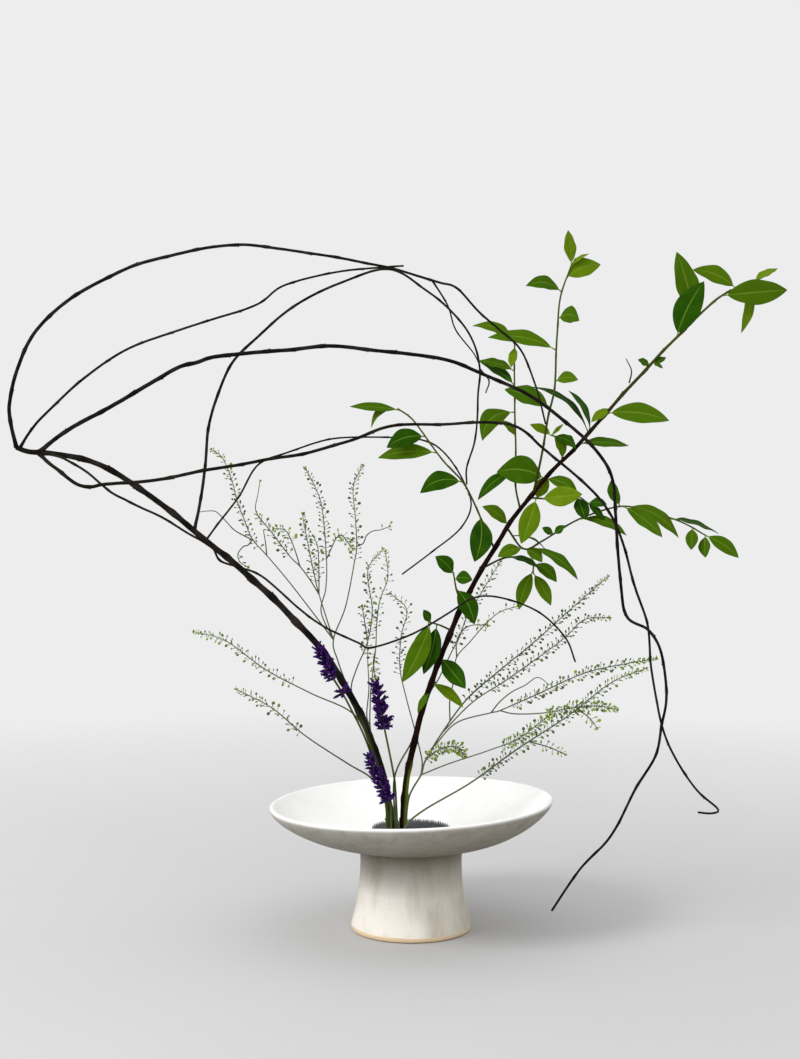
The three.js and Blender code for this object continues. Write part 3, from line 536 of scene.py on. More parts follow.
def tube(line, radii, sides):
    """A closed round bar. radii has one number for each point, or one for each corner."""
    frames = carried_frames(line)
    radii = np.asarray(radii, float)
    if radii.ndim == 1:
        radii = np.repeat(radii[:, None], sides, axis=1)
    angles = circle(sides)
    start = line[0] - frames[0][0] * radii[0].mean() * ROOT_CAP
    end = line[-1] + frames[0][-1] * radii[-1].mean() * TIP_CAP
    return bar(line, frames, radii * np.cos(angles), radii * np.sin(angles), start, end)


def ring_values(values, sides):
    """One value for each ring of a tube, spread over the tube's points."""
    values = np.asarray(values, float)
    return np.concatenate([np.repeat(values, sides), [values[0], values[-1]]])


def slab(upper, lower):
    """A closed sheet between two grids of points: rows go along it, and columns across it."""
    rows, columns = upper.shape[:2]
    grid = np.arange(rows * columns).reshape(rows, columns)
    below = grid.size
    faces = []
    for row, following in zip(grid, grid[1:]):
        for corners in zip(row, following, following[1:], row[1:]):
            faces += [corners, [below + corner for corner in reversed(corners)]]
    border = [*grid[0], *grid[1:, -1], *grid[-1, -2::-1], *grid[-2:0:-1, 0]]
    for here, beside in zip(border, [*border[1:], border[0]]):
        faces.append([here, beside, below + beside, below + here])
    return np.vstack([upper.reshape(-1, 3), lower.reshape(-1, 3)]), faces


def lump(centre, axis, length, width, thickness, sides):
    """A rounded flat body, such as a pod or a petal, whose long axis points along axis."""
    axis = unit(axis)
    steps = np.linspace(0.06, 0.94, LUMP_RINGS)
    line = centre + np.outer((steps - 0.5) * length, axis)
    swell = np.sqrt(1 - (2 * steps - 1) ** 2)[:, None] / 2
    angles = circle(sides)
    aside = swell * np.cos(angles) * width
    across = swell * np.sin(angles) * thickness
    end = axis * length / 2
    return bar(line, carried_frames(line), aside, across, centre - end, centre + end)


# ---------------------------------------------------------------- materials
# Object coordinates are in metres, so the places on the bowl that its glaze looks for are too.

FOOT_JOIN = (0.0745, 0.0755)  # heights between which the foot's glaze gives way to the dish's
# heights over which the painted shade under the dish lightens towards the rim
UNDERSIDE_PAINTED_SHADE = (0.078, 0.112)
# heights over which the dish's painted shadow on the top of the foot grows, from below upwards
FOOT_SHADE = (0.036, 0.073)
BARE_EDGE = (0.0036, 0.0046)
DISH_SHADE = (-0.02, 0.1)  # painted shade under the dish, growing from left to right
# painted shade on the foot, growing from left to right
FOOT_SIDE_SHADE = (0.005, 0.05)


class Shader:
    """A material's node tree, written from the inputs towards the surface."""

    def __init__(self, name):
        self.material = bpy.data.materials.new(name)
        self.material.use_nodes = True
        self.tree = self.material.node_tree
        self.surface = self.tree.nodes["Principled BSDF"]
        self.coordinates = self.node("ShaderNodeTexCoord").outputs["Object"]

    def node(self, kind, **settings):
        made = self.tree.nodes.new(kind)
        for name, value in settings.items():
            setattr(made, name, value)
        return made

    def feed(self, socket, value):
        if isinstance(value, bpy.types.NodeSocket):
            self.tree.links.new(value, socket)
        else:
            socket.default_value = value

    def mark(self, name):
        return self.node("ShaderNodeAttribute", attribute_name=name).outputs["Fac"]

    def math(self, operation, *values):
        made = self.node("ShaderNodeMath", operation=operation)
        for socket, value in zip(made.inputs, values):
            self.feed(socket, value)
        return made.outputs[0]

    def span(self, value, low, high, to_low=0.0, to_high=1.0):
        """Turns a value between low and high into one between the other two, without passing them."""
        made = self.node("ShaderNodeMapRange")
        for name, setting in (
            ("Value", value), ("From Min", low), ("From Max", high),
            ("To Min", to_low), ("To Max", to_high),
        ):
            self.feed(made.inputs[name], setting)
        return made.outputs["Result"]

    def stretched(self, across, up):
        """Object coordinates, scaled sideways and upwards."""
        made = self.node("ShaderNodeMapping")
        self.feed(made.inputs["Vector"], self.coordinates)
        made.inputs["Scale"].default_value = (across, across, up)
        return made.outputs["Vector"]

    def noise(self, scale, detail, coordinates=None):
        made = self.node("ShaderNodeTexNoise")
        self.feed(made.inputs["Vector"], coordinates or self.coordinates)
        made.inputs["Scale"].default_value = scale
        made.inputs["Detail"].default_value = detail
        return made.outputs["Fac"]

    def mix(self, share, first, second):
        made = self.node("ShaderNodeMix", data_type="RGBA")
        self.feed(made.inputs["Factor"], share)
        self.feed(made.inputs["A"], colour(first))
        self.feed(made.inputs["B"], colour(second))
        return made.outputs["Result"]

    def blend(self, first, second, value, low, high, share=1.0):
        """Turns the first colour into a share of the second as a value goes from low to high."""
        return self.mix(self.span(value, low, high, 0, share), first, second)

    def bump(self, height, distance):
        made = self.node("ShaderNodeBump")
        self.feed(made.inputs["Height"], height)
        made.inputs["Distance"].default_value = distance * METRES
        self.feed(self.surface.inputs["Normal"], made.outputs["Normal"])

    def set(self, **values):
        for name, value in values.items():
            socket = self.surface.inputs[name.replace("_", " ")]
            self.feed(socket, colour(value) if name == "Base_Color" else value)
        return self.material


def colour(value):
    """A socket as it is, or display red, green and blue of 0 to 255 as the linear colour they show."""
    if isinstance(value, bpy.types.NodeSocket):
        return value
    shares = [part / 255 for part in value]
    linear = [s / 12.92 if s <= 0.04045 else ((s + 0.055) / 1.055) ** 2.4 for s in shares]
    return (*linear, 1.0)


def glaze_material():
    """White inside and on the lip, warm grey under the dish, cream with runs on the foot. The warm
    grey under the dish is painted shade, darker towards the foot.

    The foot ends in an edge of bare clay. Painted shade darkens the glaze under the dish and on the
    foot to the right, and a painted shadow of the dish darkens the top of the foot.
    """
    s = Shader("bowl_glaze")
    inside = s.mark("tone")
    height = s.node("ShaderNodeSeparateXYZ")
    s.feed(height.inputs[0], s.coordinates)
    x = height.outputs["X"]
    z = height.outputs["Z"]
    cloud = s.noise(28, 5)
    mottle = s.noise(95, 6)
    speck = s.noise(420, 2)
    runs = s.noise(1.0, 4, s.stretched(52, 13))
    fine_runs = s.noise(1.0, 3, s.stretched(190, 16))
    # Painted shade under the dish: darker towards the foot and to the right. The cloud and the mottle are
    # the glaze's own.
    under = s.blend((98, 92, 74), (178, 174, 165), z, *UNDERSIDE_PAINTED_SHADE)
    under = s.blend(under, (96, 88, 62), x, *DISH_SHADE, 0.5)
    under = s.blend(under, (128, 123, 104), cloud, 0.35, 0.7, 0.25)
    under = s.blend(under, (84, 78, 56), mottle, 0.45, 0.7, 0.3)
    foot = s.blend((246, 240, 230), (214, 206, 188), runs, 0.46, 0.7)
    foot = s.blend(foot, (196, 189, 176), fine_runs, 0.6, 0.8, 0.16)
    # Painted shade on the foot's right side.
    foot = s.blend(foot, (150, 140, 108), x, *FOOT_SIDE_SHADE, 0.4)
    # The dish's painted shadow over the top of the foot.
    foot = s.blend(foot, (82, 73, 46), z, *FOOT_SHADE, 0.94)
    outer = s.blend(foot, under, z, *FOOT_JOIN)
    edge = s.math("ADD", z, s.math("MULTIPLY", s.math("SUBTRACT", cloud, 0.5), 0.003))
    outer = s.blend((232, 206, 168), outer, edge, *BARE_EDGE)
    basin = s.blend((254, 254, 252), (246, 246, 243), cloud, 0.4, 0.75)
    whole = s.blend(s.mix(inside, outer, basin), (186, 180, 170), speck, 0.66, 0.74, 0.35)
    s.bump(s.math("ADD", s.math("MULTIPLY", cloud, 2.0), s.math("MULTIPLY", speck, 0.12)), 0.35)
    rough = s.span(inside, 0, 1, 0.55, 0.35)
    return s.set(Base_Color=whole, Roughness=rough, IOR=1.5)


def metal_material():
    """Dull grey cast metal."""
    s = Shader("holder_metal")
    patch = s.noise(140, 6)
    tone = s.blend((84, 87, 92), (112, 115, 119), patch, 0.3, 0.7)
    s.bump(patch, 0.15)
    return s.set(Base_Color=tone, Roughness=s.span(patch, 0.3, 0.7, 0.35, 0.6), Metallic=0.5)


def bark_material(name, dark, pale, fresh):
    """Dark rough bark, paler in patches, and fresh where tone or side is high."""
    s = Shader(name)
    ridge = s.noise(520, 5)
    patch = s.noise(70, 4)
    old = s.blend(dark, pale, patch, 0.42, 0.72)
    old = s.blend(old, tuple(part * 0.5 for part in dark), ridge, 0.55, 0.75, 0.6)
    tint = s.math("MULTIPLY", s.mark("tone"), s.span(patch, 0.3, 0.6, 0.75, 1.0))
    tint = s.math("MAXIMUM", tint, s.span(s.mark("side"), 0.3, 0.9))
    s.bump(s.math("ADD", ridge, s.math("MULTIPLY", patch, 0.5)), 0.3)
    rough = s.span(ridge, 0.35, 0.7, 0.65, 0.85)
    return s.set(Base_Color=s.mix(tint, old, fresh), Roughness=rough, Specular_IOR_Level=0.05)


SIDE_VEINS = 8.5  # on each side of a leaf
VEIN_SWEEP = 1.6  # how many veins further on a vein reaches the leaf's edge


def leaf_material():
    """A satin leaf whose midrib and side veins are paler."""
    s = Shader("leaf_green")
    along, side, tone = s.mark("along"), s.mark("side"), s.mark("tone")
    off_midrib = s.math("ABSOLUTE", side)
    sweep = s.math("MULTIPLY", off_midrib, VEIN_SWEEP)
    swept = s.math("SUBTRACT", s.math("MULTIPLY", along, SIDE_VEINS), sweep)
    wave = s.math("ABSOLUTE", s.math("SINE", s.math("MULTIPLY", swept, math.pi)))
    vein = s.math("MULTIPLY", s.span(wave, 0.0, 0.16, 1, 0), s.span(off_midrib, 0.5, 0.95, 1, 0))
    midrib = s.span(off_midrib, 0.025, 0.075, 1, 0)
    patch = s.noise(95, 4)
    fine = s.noise(900, 2)
    dark = s.blend((12, 46, 1), (36, 80, 2), tone, 0.0, 0.35)
    green = s.blend(dark, (112, 138, 12), tone, 0.35, 0.95)
    blade = s.blend(green, (64, 100, 4), patch, 0.35, 0.7, 0.3)
    blade = s.blend(blade, (20, 50, 4), fine, 0.4, 0.7, 0.12)
    blade = s.mix(s.math("MULTIPLY", vein, 0.1), blade, (130, 160, 50))
    blade = s.mix(s.math("MULTIPLY", midrib, 0.4), blade, (136, 166, 60))
    s.bump(s.math("SUBTRACT", s.math("MULTIPLY", patch, 0.8), s.math("ADD", vein, midrib)), 0.12)
    rough = s.span(patch, 0.3, 0.7, 0.45, 0.6)
    return s.set(Base_Color=blade, Roughness=rough, Specular_IOR_Level=0.03)


def sprig_material():
    """Thin grey-green stalks where tone is 0, pods at 0.5 and yellow-green buds at 1."""
    s = Shader("sprig_green")
    tone = s.mark("tone")
    patch = s.noise(160, 3)
    lower = s.blend((74, 82, 50), (60, 80, 26), tone, 0.0, 0.5)
    whole = s.blend(lower, (150, 174, 26), tone, 0.5, 1.0)
    whole = s.blend(whole, (96, 108, 60), patch, 0.4, 0.7, 0.2)
    s.bump(s.noise(900, 2), 0.1)
    return s.set(Base_Color=whole, Roughness=s.span(patch, 0.3, 0.7, 0.5, 0.7))


def lavender_material():
    """Deep violet calyxes where tone is 0, and brighter petals at 1."""
    s = Shader("lavender_violet")
    tone = s.mark("tone")
    patch = s.noise(420, 3)
    deep = s.blend((24, 10, 56), (84, 30, 128), tone, 0.0, 1.0)
    whole = s.blend(deep, (22, 6, 46), patch, 0.45, 0.7, 0.5)
    s.bump(s.noise(1500, 2), 0.12)
    rough = s.span(patch, 0.3, 0.7, 0.6, 0.85)
    return s.set(Base_Color=whole, Roughness=rough, Specular_IOR_Level=0.1)


GLAZE = glaze_material()
METAL = metal_material()
VINE_BARK = bark_material("vine_bark", (16, 11, 10), (46, 39, 36), (52, 64, 14))
SHRUB_BARK = bark_material("shrub_bark", (20, 7, 4), (42, 19, 12), (92, 112, 30))
LEAF = leaf_material()
SPRIG = sprig_material()
LAVENDER_STALK = bark_material("lavender_stalk", (58, 66, 36), (86, 94, 56), (74, 96, 34))
VIOLET = lavender_material()


def show(shells, name, slot, nodes, *materials):
    """Makes a piece that rides on the frame and stands for the CAD nodes."""
    piece = shells.to_object(name, *materials)
    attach(piece, "root")
    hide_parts(*nodes)


# ---------------------------------------------------------------- the bowl and its holder

BOWL_OUTLINE = [
    (0, 78), (42, 78), (60, 81), (76, 85.5), (92, 91), (106, 99), (117, 107.5),
    (123, 113.5), (125, 115), (127, 114.3), (127.5, 112), (125, 107.5), (118, 100.5), (107, 93),
    (92, 85.4), (76, 80), (62, 77), (51, 75.6), (47.4, 75.2), (46.2, 74.6), (46, 70), (45.6, 60),
    (46.3, 45), (48.2, 32), (51, 17), (53.6, 6), (54.2, 3), (53.2, 0), (46.5, 0), (44, 5),
    (38, 60), (33, 67), (0, 67),
]
LIP = 9  # the last point of the outline that belongs to the white inside
RIM_RADIUS = 127.5
RIM_LEAN = 4  # how much the rim rises to the right and drops to the left
DISH_START = 64  # nothing below this height leans
THROWN_DRIFT = 0.5
THROWING_RIDGES = 0.12
BOWL_FACETS = 160
OUTLINE_ROUNDS = 3  # of corner cutting
CORNER_CUT = 0.2  # of the stretch between two points
EVEN_BELOW = 6  # the unevenness fades out below this height, so that the foot stands flat


def rounded(outline):
    """Cuts an open outline's corners again and again, which turns them into curves."""
    for _ in range(OUTLINE_ROUNDS):
        kept = [outline[0]]
        for first, second in zip(outline, outline[1:]):
            cut = (second - first) * CORNER_CUT
            kept += [first + cut, second - cut]
        outline = np.array([*kept, outline[-1]])
    return outline


def bowl_outline():
    """The outline with a third number that is 1 inside the dish and on its lip."""
    rows = [[r, z, 1.0 if i <= LIP else 0.0] for i, (r, z) in enumerate(BOWL_OUTLINE)]
    return rounded(np.array(rows))


def hand_thrown(point):
    """The small unevenness that a thrown pot keeps."""
    drift = noise.noise(Vector(point) * 0.016)
    ridges = noise.noise(Vector((point[2] * 0.45, 0.0, math.atan2(point[1], point[0]) * 0.25)))
    return drift * THROWN_DRIFT + ridges * THROWING_RIDGES


def footed_bowl():
    shells = Shells()
    outline = bowl_outline()
    radii, heights, whites = outline[1:-1].T
    rings = []
    for radius, height in zip(radii, heights):
        lean = RIM_LEAN * (radius / RIM_RADIUS) ** 3 if height > DISH_START else 0
        ring = []
        for turn in circle(BOWL_FACETS):
            uneven = hand_thrown((radius * math.cos(turn), radius * math.sin(turn), height))
            swollen = radius + uneven * min(1, height / EVEN_BELOW)
            x = swollen * math.cos(turn)
            rise = lean * x / RIM_RADIUS
            ring.append([x, swollen * math.sin(turn), height + rise])
        rings.append(ring)
    middles = [[0, 0, outline[0][1]], [0, 0, outline[-1][1]]]
    points = np.vstack([np.reshape(rings, (-1, 3)), middles])
    faces = [list(reversed(face)) for face in ring_faces(len(rings), BOWL_FACETS)]
    shells.add(points, faces, tone=ring_values(whites, BOWL_FACETS))
    show(shells, "footed_bowl_glazed", "bowl_glaze", ["footed_bowl"], GLAZE)


HOLDER_OUTLINE = [(36.6, 78.3), (37.3, 78.7), (37.5, 79.3), (37.5, 82), (37.2, 82.7), (36.4, 83)]
HOLDER_FACETS = 96
PIN_FOOT = 82  # inside the base plate
PIN_TOP = 92
PIN_RADIUS = 0.9
PIN_PITCH = 3
PIN_FIELD = 35
PIN_TAPER = [(0, 1), (0.7, 1), (0.88, 0.7), (1, 0.1)]  # shares of a pin's height and of its radius
STEM_CLEARANCE = 0.4
SLIM_FOOT = 1.0  # the radius of a flower's or a sprig's foot


def stem_feet():
    """The middle and the radius of every stem that stands among the pins."""
    shoots = [*VINE.values(), *SHRUB.values()]
    woody_feet = [(shoot["foot"], shoot["radius"][0]) for shoot in shoots if "foot" in shoot]
    slim = [*LAVENDER.values(), *SPRIGS.values()]
    return woody_feet + [(stalk["foot"], SLIM_FOOT) for stalk in slim]


def pin_places():
    """Rows of pins over the holder, left out where a stem stands."""
    feet = stem_feet()
    row_height = PIN_PITCH * math.sin(math.pi / 3)
    reach = math.ceil(PIN_FIELD / row_height)
    for row in range(-reach, reach + 1):
        for column in range(-reach, reach + 1):
            x = (column + 0.5 * (row % 2)) * PIN_PITCH
            y = row * row_height
            clear = all(
                math.dist((x, y), foot) > radius + PIN_RADIUS + STEM_CLEARANCE for foot, radius in feet
            )
            if math.hypot(x, y) < PIN_FIELD and clear:
                yield x, y


def pin_holder():
    shells = Shells()
    radii, heights = zip(*HOLDER_OUTLINE)
    line = np.array([[0, 0, height] for height in heights])
    points, faces = tube(line, radii, HOLDER_FACETS)
    points[-2:] = line[[0, -1]]  # flat ends
    shells.add(points, faces)
    height_shares, radius_shares = np.array(PIN_TAPER).T
    pin_heights = PIN_FOOT + height_shares * (PIN_TOP - PIN_FOOT)
    for x, y in pin_places():
        pin = np.array([[x, y, height] for height in pin_heights])
        shells.add(*tube(pin, PIN_RADIUS * radius_shares, 6))
    show(shells, "pin_holder_cast", "holder_metal", ["pin_holder"], METAL)


# ---------------------------------------------------------------- woody shoots


def bud(shells, seat, forward, outward, size, tone):
    """A small scaly bud that lies along its shoot."""
    direction = unit(forward * 0.8 + outward * 0.6)
    centre = seat + direction * size * 0.8
    shells.add(*lump(centre, direction, 2.6 * size, 1.2 * size, 1.1 * size, 6), tone=tone)


def node_places(length, spacing, rng):
    """How far along a shoot its nodes are."""
    places = []
    at = spacing * rng.uniform(0.5, 1.0)
    while at < length - spacing * 0.3:
        places.append(at)
        at += spacing * rng.uniform(0.75, 1.3)
    return places


def zigzag(line, distances, nodes, sway, rng):
    """Bends a shoot a little at every node, one way and then the other."""
    _, normals, crosswise = carried_frames(line)
    marks = [0.0, *nodes, distances[-1]]
    for axes in (normals, crosswise):
        bends = [sway * (-1) ** i * rng.uniform(0.4, 1.2) for i in range(len(nodes))]
        line = line + np.interp(distances, marks, [0.0, *bends, 0.0])[:, None] * axes
    return line


def facing(rings, line, direction):
    """How far each corner of a tube faces a direction, from 0 to 1."""
    outward = rings.reshape(len(line), -1, 3) - line[:, None, :]
    outward /= np.linalg.norm(outward, axis=2)[:, :, None]
    return np.clip(outward @ np.asarray(direction, float), 0, 1)


def swelling(distances, nodes, radius, collar, rng):
    """How much thicker a shoot is at each point: at every node, and over a collar at its start."""
    swell = 1 + collar * np.exp(-distances / COLLAR_LENGTH)
    for at in nodes:
        node_length = 1.3 * radius + 0.8
        swell += rng.uniform(0.12, 0.28) * np.exp(-(((distances - at) / node_length) ** 2))
    return swell


def bark_grain(line, sides):
    """Low ridges and hollows along a shoot, as a share of its radius at each corner."""
    return 0.09 * np.array([
        [noise.noise(Vector(point) * 0.18 + Vector((side * 2.3, 0, 0))) for side in range(sides)]
        for point in line
    ])


def node_buds(shells, line, distances, nodes, thickness, tone, rng):
    """A bud at every node, on one side of the shoot and then the other."""
    tangents, normals, crosswise = carried_frames(line)
    for number, at in enumerate(nodes):
        i = int(np.searchsorted(distances, at))
        outward = turned(normals[i], crosswise[i], number * math.pi + rng.uniform(-0.6, 0.6))
        size = thickness[i] * rng.uniform(0.25, 0.4) + 0.3
        bud(shells, line[i] + outward * thickness[i] * 0.8, tangents[i], outward, size, tone[i])


def woody(shells, line, radius, spacing, rng, tone, sides=10, collar=0.0, moss=None):
    """A bark-covered shoot with swollen nodes, their buds and a slightly uneven section.

    moss is the direction that a green flank faces, and how green it is at each point.
    """
    distances = distances_along(line)
    nodes = node_places(distances[-1], spacing, rng)
    thickness = radius[0] + (radius[1] - radius[0]) * distances / distances[-1]
    line = zigzag(line, distances, nodes, min(0.3, 0.2 * radius[0]), rng)
    swell = swelling(distances, nodes, radius[0], collar, rng)
    points, faces = tube(line, thickness[:, None] * (swell[:, None] + bark_grain(line, sides)), sides)
    side = np.zeros(len(points))
    if moss:
        direction, amount = moss
        side[:-2] = (facing(points[:-2], line, direction) * amount[:, None]).ravel()
    shells.add(points, faces, side=side, tone=ring_values(tone, sides))
    node_buds(shells, line, distances, nodes, thickness, tone, rng)
    return line


VINE_NODE_SPACING = 30
SHRUB_NODE_SPACING = 26
VINE_COLLAR = 0.45  # how much thicker a shoot is where it leaves another
SHRUB_COLLAR = 0.3
COLLAR_LENGTH = 4
SIDE_SHOOT_TAPER = 0.7
SPROUT_RADII = (0.8, 0.4)
STEM_GREENING = (430, 560)  # the heights between which the shrub's stem turns green
STEM_TIP_TONE = 0.6
SHOOT_TONES = (0.25, 0.7)  # of the shrub's side shoots, from their start to their tip
CANE_MOSS = (60, 230)  # the heights between which a stem has a green flank
STEM_MOSS = (60, 165)
FINE_STEP = 2.2


def height_window(line, low, high):
    """1 between two heights, and less towards them and beyond."""
    middle, reach = (low + high) / 2, (high - low) / 2
    return np.clip(2 - 2 * np.abs(line[:, 2] - middle) / reach, 0, 1)


def vine():
    """The cane and the shoots that spring from it."""
    for number, (name, shoot) in enumerate(VINE.items()):
        rng = random.Random(100 + number)
        shells = Shells()
        for order, route in enumerate(shoot["routes"]):
            line = growing_line(route, order == 0 and shoot.get("foot"), FINE_STEP)
            thick, thin = shoot["radius"]
            radius = (thin, thin * SIDE_SHOOT_TAPER) if order else (thick, thin)
            tone = np.linspace(*shoot["tone"], len(line))
            if name == "vine_cane":
                look = {"sides": 14, "moss": [(-0.9, -0.45, 0), height_window(line, *CANE_MOSS)]}
            else:
                look = {"collar": VINE_COLLAR}
            woody(shells, line, radius, VINE_NODE_SPACING, rng, tone, **look)
        show(shells, f"{name}_bark", "vine_bark", [name], VINE_BARK)


def shrub_tone(name, line):
    """How green the bark is: the older wood is red brown, and young shoots are green at their tips."""
    if name == "shrub_stem":
        return np.interp(line[:, 2], STEM_GREENING, (0, STEM_TIP_TONE))
    return np.linspace(*SHOOT_TONES, len(line))


def shrub():
    """The stem and its side shoots. Gives back their lines, for the leaves to sit on."""
    lines = {}
    for number, (name, shoot) in enumerate(SHRUB.items()):
        rng = random.Random(200 + number)
        shells = Shells()
        line = growing_line(shoot["route"], shoot.get("foot"), FINE_STEP)
        tone = shrub_tone(name, line)
        if name == "shrub_stem":
            look = {"moss": [(0.9, -0.45, 0), height_window(line, *STEM_MOSS)]}
        else:
            look = {"collar": SHRUB_COLLAR}
        lines[name] = woody(shells, line, shoot["radius"], SHRUB_NODE_SPACING, rng, tone, **look)
        if name == "shrub_stem":
            sprout = growing_line(SPROUT, None, FINE_STEP)
            shells.add(*tube(sprout, np.linspace(*SPROUT_RADII, len(sprout)), 8), tone=0.5)
        show(shells, f"{name}_bark", "shrub_bark", [name], SHRUB_BARK)
    return lines


# ---------------------------------------------------------------- leaves

PETIOLE_SHARE = 0.08  # of the leaf's length, as all its shares are
PETIOLE_RADIUS = 0.7
MIDRIB_RADIUS = 0.14  # at its end
MIDRIB_END = 0.9
MIDRIB_DEPTH = 0.25  # under the middle of the blade
MIDRIB_ROWS = 16
LEAF_FOLD = 0.18
LEAF_CUP = 0.1
LEAF_THICKNESS = 0.4
LEAF_ROWS = 30
LEAF_COLUMNS = 12
VEIN_RELIEF = 0.22
MIDRIB_GROOVE = 0.18


def leaf_axes(row, line):
    """Where a leaf starts, bends to and ends, the way it faces and the way across it."""
    base, tip, _, roll, bow, _ = row
    start = line[np.argmin(np.linalg.norm(line - place(base), axis=1))]
    end = place(tip)
    along = unit(end - start)
    view = np.array([0.0, -1.0, 0.0])
    towards_viewer = unit(view - along * (view @ along))
    upwards = np.cross(along, towards_viewer)
    if upwards[2] < 0:
        upwards = -upwards
    normal = turned(towards_viewer, upwards, math.radians(roll))
    sideways = np.array([-along[2], 0.0, along[0]])
    middle = (start + end) / 2 + sideways * 2 * bow
    return start, middle, end, normal, np.cross(normal, along)


def blade(middles, along, width, normal, across, wave, phase):
    """A leaf's blade along its midrib: folded, cupped, rippled and quilted between its veins.

    Gives back the closed sheet, and how far aside each of its columns is, from -1 to 1.
    """
    half = np.maximum(width / 2 * np.sin(np.pi * along**0.9) ** 0.85, 0.12)[:, None]
    side = np.sin(np.linspace(-0.5, 0.5, LEAF_COLUMNS + 1) * np.pi)
    off = np.abs(side)[None, :]
    along = along[:, None]
    fold = LEAF_FOLD * half * off
    cup = -LEAF_CUP * half * off**2
    ripple = wave * np.sin(along * 15 + phase + 2 * side) * off**2 * np.sin(np.pi * along)
    quilt = np.abs(np.sin(np.pi * (SIDE_VEINS * along - VEIN_SWEEP * off)))
    relief = VEIN_RELIEF * np.minimum(half, 4) / 4 * quilt * off * (1.15 - off)
    groove = MIDRIB_GROOVE * np.clip(1 - off / 0.16, 0, 1) * np.minimum(half, 2) / 2
    spread = middles[:, None, :] + (half * side)[:, :, None] * across
    surface = spread + (fold + cup + ripple + relief)[:, :, None] * normal
    thick = LEAF_THICKNESS / 2 * (1.05 - off**4)[:, :, None] * normal
    return slab(surface + thick - groove[:, :, None] * normal, surface - thick), side


def leaf(shells, row, line, rng):
    """A blade, and the stalk that carries it and goes on under it as its midrib."""
    start, middle, end, normal, across = leaf_axes(row, line)
    _, _, width, _, _, tone = row
    curl = rng.uniform(-0.03, 0.09) * np.linalg.norm(end - start)
    wave = rng.uniform(0.02, 0.06) * width
    phase = rng.uniform(0, 2 * math.pi)

    def midrib(shares):
        share = shares[:, None]
        path = (1 - share) ** 2 * start + 2 * share * (1 - share) * middle + share**2 * end
        droop = np.clip((share - PETIOLE_SHARE) / (1 - PETIOLE_SHARE), 0, 1)
        return path - normal * curl * droop * (droop - 0.6)

    along = np.linspace(0, 1, LEAF_ROWS + 1)
    middles = midrib(PETIOLE_SHARE + along * (1 - PETIOLE_SHARE))
    sheet, side = blade(middles, along, width, normal, across, wave, phase)
    sides = np.tile(side, 2 * len(along))
    alongs = np.tile(np.repeat(along, len(side)), 2)
    shells.add(*sheet, tone=tone, side=sides, along=alongs)
    shares = np.linspace(0, MIDRIB_END, MIDRIB_ROWS)
    stalk = midrib(shares) - normal * MIDRIB_DEPTH
    radii = np.interp(shares, [0, PETIOLE_SHARE, MIDRIB_END], [PETIOLE_RADIUS, 0.5, MIDRIB_RADIUS])
    shells.add(*tube(stalk, radii, 8), tone=min(1.0, tone + 0.2))


def leaves(lines):
    """Each large leaf is a piece, and so are the smaller ones of each shoot together."""
    for number, (shoot, *row) in enumerate(SINGLE_LEAVES, start=1):
        shells = Shells()
        leaf(shells, row, lines[shoot], random.Random(300 + number))
        show(shells, f"leaf_{number:02}_blade", "leaf_green", [f"leaf_{number:02}"], LEAF)
    for name, shoot in SHRUB.items():
        shells = Shells()
        for number, row in enumerate(shoot["leaves"]):
            leaf(shells, row, lines[name], random.Random(f"{name}{number}"))
        show(shells, f"{name}_leaves", "leaf_green", [name], LEAF)


# ---------------------------------------------------------------- lavender

FLORETS = 12
TOP_FLORETS = 9  # in the whorls at the tip
SPIKE_POINTS = 3
SPIKE_STEP = 1.0
STALK_RADII = (1.0, 0.85)
SPIKE_RADII = (0.85, 0.5)
CALYX_LENGTH = 6.8
CALYX_OUTLINE = [(0, 0.5), (0.25, 1), (0.6, 1.25), (0.85, 1.25), (1, 0.85)]  # share of length, radius
LOBE_TURN = 2.1


def floret(shells, seat, direction, scale, rng):
    """A ribbed calyx tube that opens into a few small lobes."""
    length = CALYX_LENGTH * scale * rng.uniform(0.6, 1.3)
    shares, radii = np.array(CALYX_OUTLINE).T
    line = seat + np.outer(shares * length, direction)
    shells.add(*tube(line, scale * radii, 7), tone=rng.uniform(0.0, 0.45))
    spare = unit(np.cross(direction, [0.3, 0.5, 0.8]))
    other = np.cross(direction, spare)
    for lobe in range(rng.choice([1, 2, 3])):
        outward = turned(spare, other, lobe * LOBE_TURN + rng.uniform(-0.4, 0.4))
        petal = unit(direction * 0.7 + outward)
        centre = line[-1] + petal * 0.8 * scale
        shape = lump(centre, petal, 2.2 * scale, 1.4 * scale, 0.7 * scale, 6)
        shells.add(*shape, tone=rng.uniform(0.4, 1.0))


def lavender():
    """Each stalk with its spike, which is whorls of florets."""
    for number, (name, stalk) in enumerate(LAVENDER.items()):
        rng = random.Random(500 + number)
        shells = Shells()
        spike = growing_line(stalk["route"][-SPIKE_POINTS:], None, SPIKE_STEP)
        line = growing_line(stalk["route"][:-1], stalk["foot"], FINE_STEP)
        shells.add(*tube(line, np.linspace(*STALK_RADII, len(line)), 8), material=1, tone=0.3)
        shells.add(*tube(spike, np.linspace(*SPIKE_RADII, len(spike)), 8), material=1, tone=0.1)
        tangents, normals, crosswise = carried_frames(spike)
        for order, share in enumerate(stalk["whorls"]):
            i = min(int(share * len(spike)), len(spike) - 1)
            scale = 1.0 - 0.3 * share**3
            count = FLORETS if share < 0.9 else TOP_FLORETS
            for k in range(count):
                turn = (k + 0.5 * order) * 2 * math.pi / count + rng.uniform(-0.25, 0.25)
                outward = turned(normals[i], crosswise[i], turn)
                lift = rng.uniform(-0.1, 0.9) + share * 0.45
                direction = unit(outward + tangents[i] * lift)
                seat = spike[i] + outward * 0.5 + tangents[i] * rng.uniform(-2.4, 2.4)
                floret(shells, seat, direction, scale, rng)
        show(shells, f"{name}_flowers", "lavender_violet", [name], VIOLET, LAVENDER_STALK)


# ---------------------------------------------------------------- pod sprigs

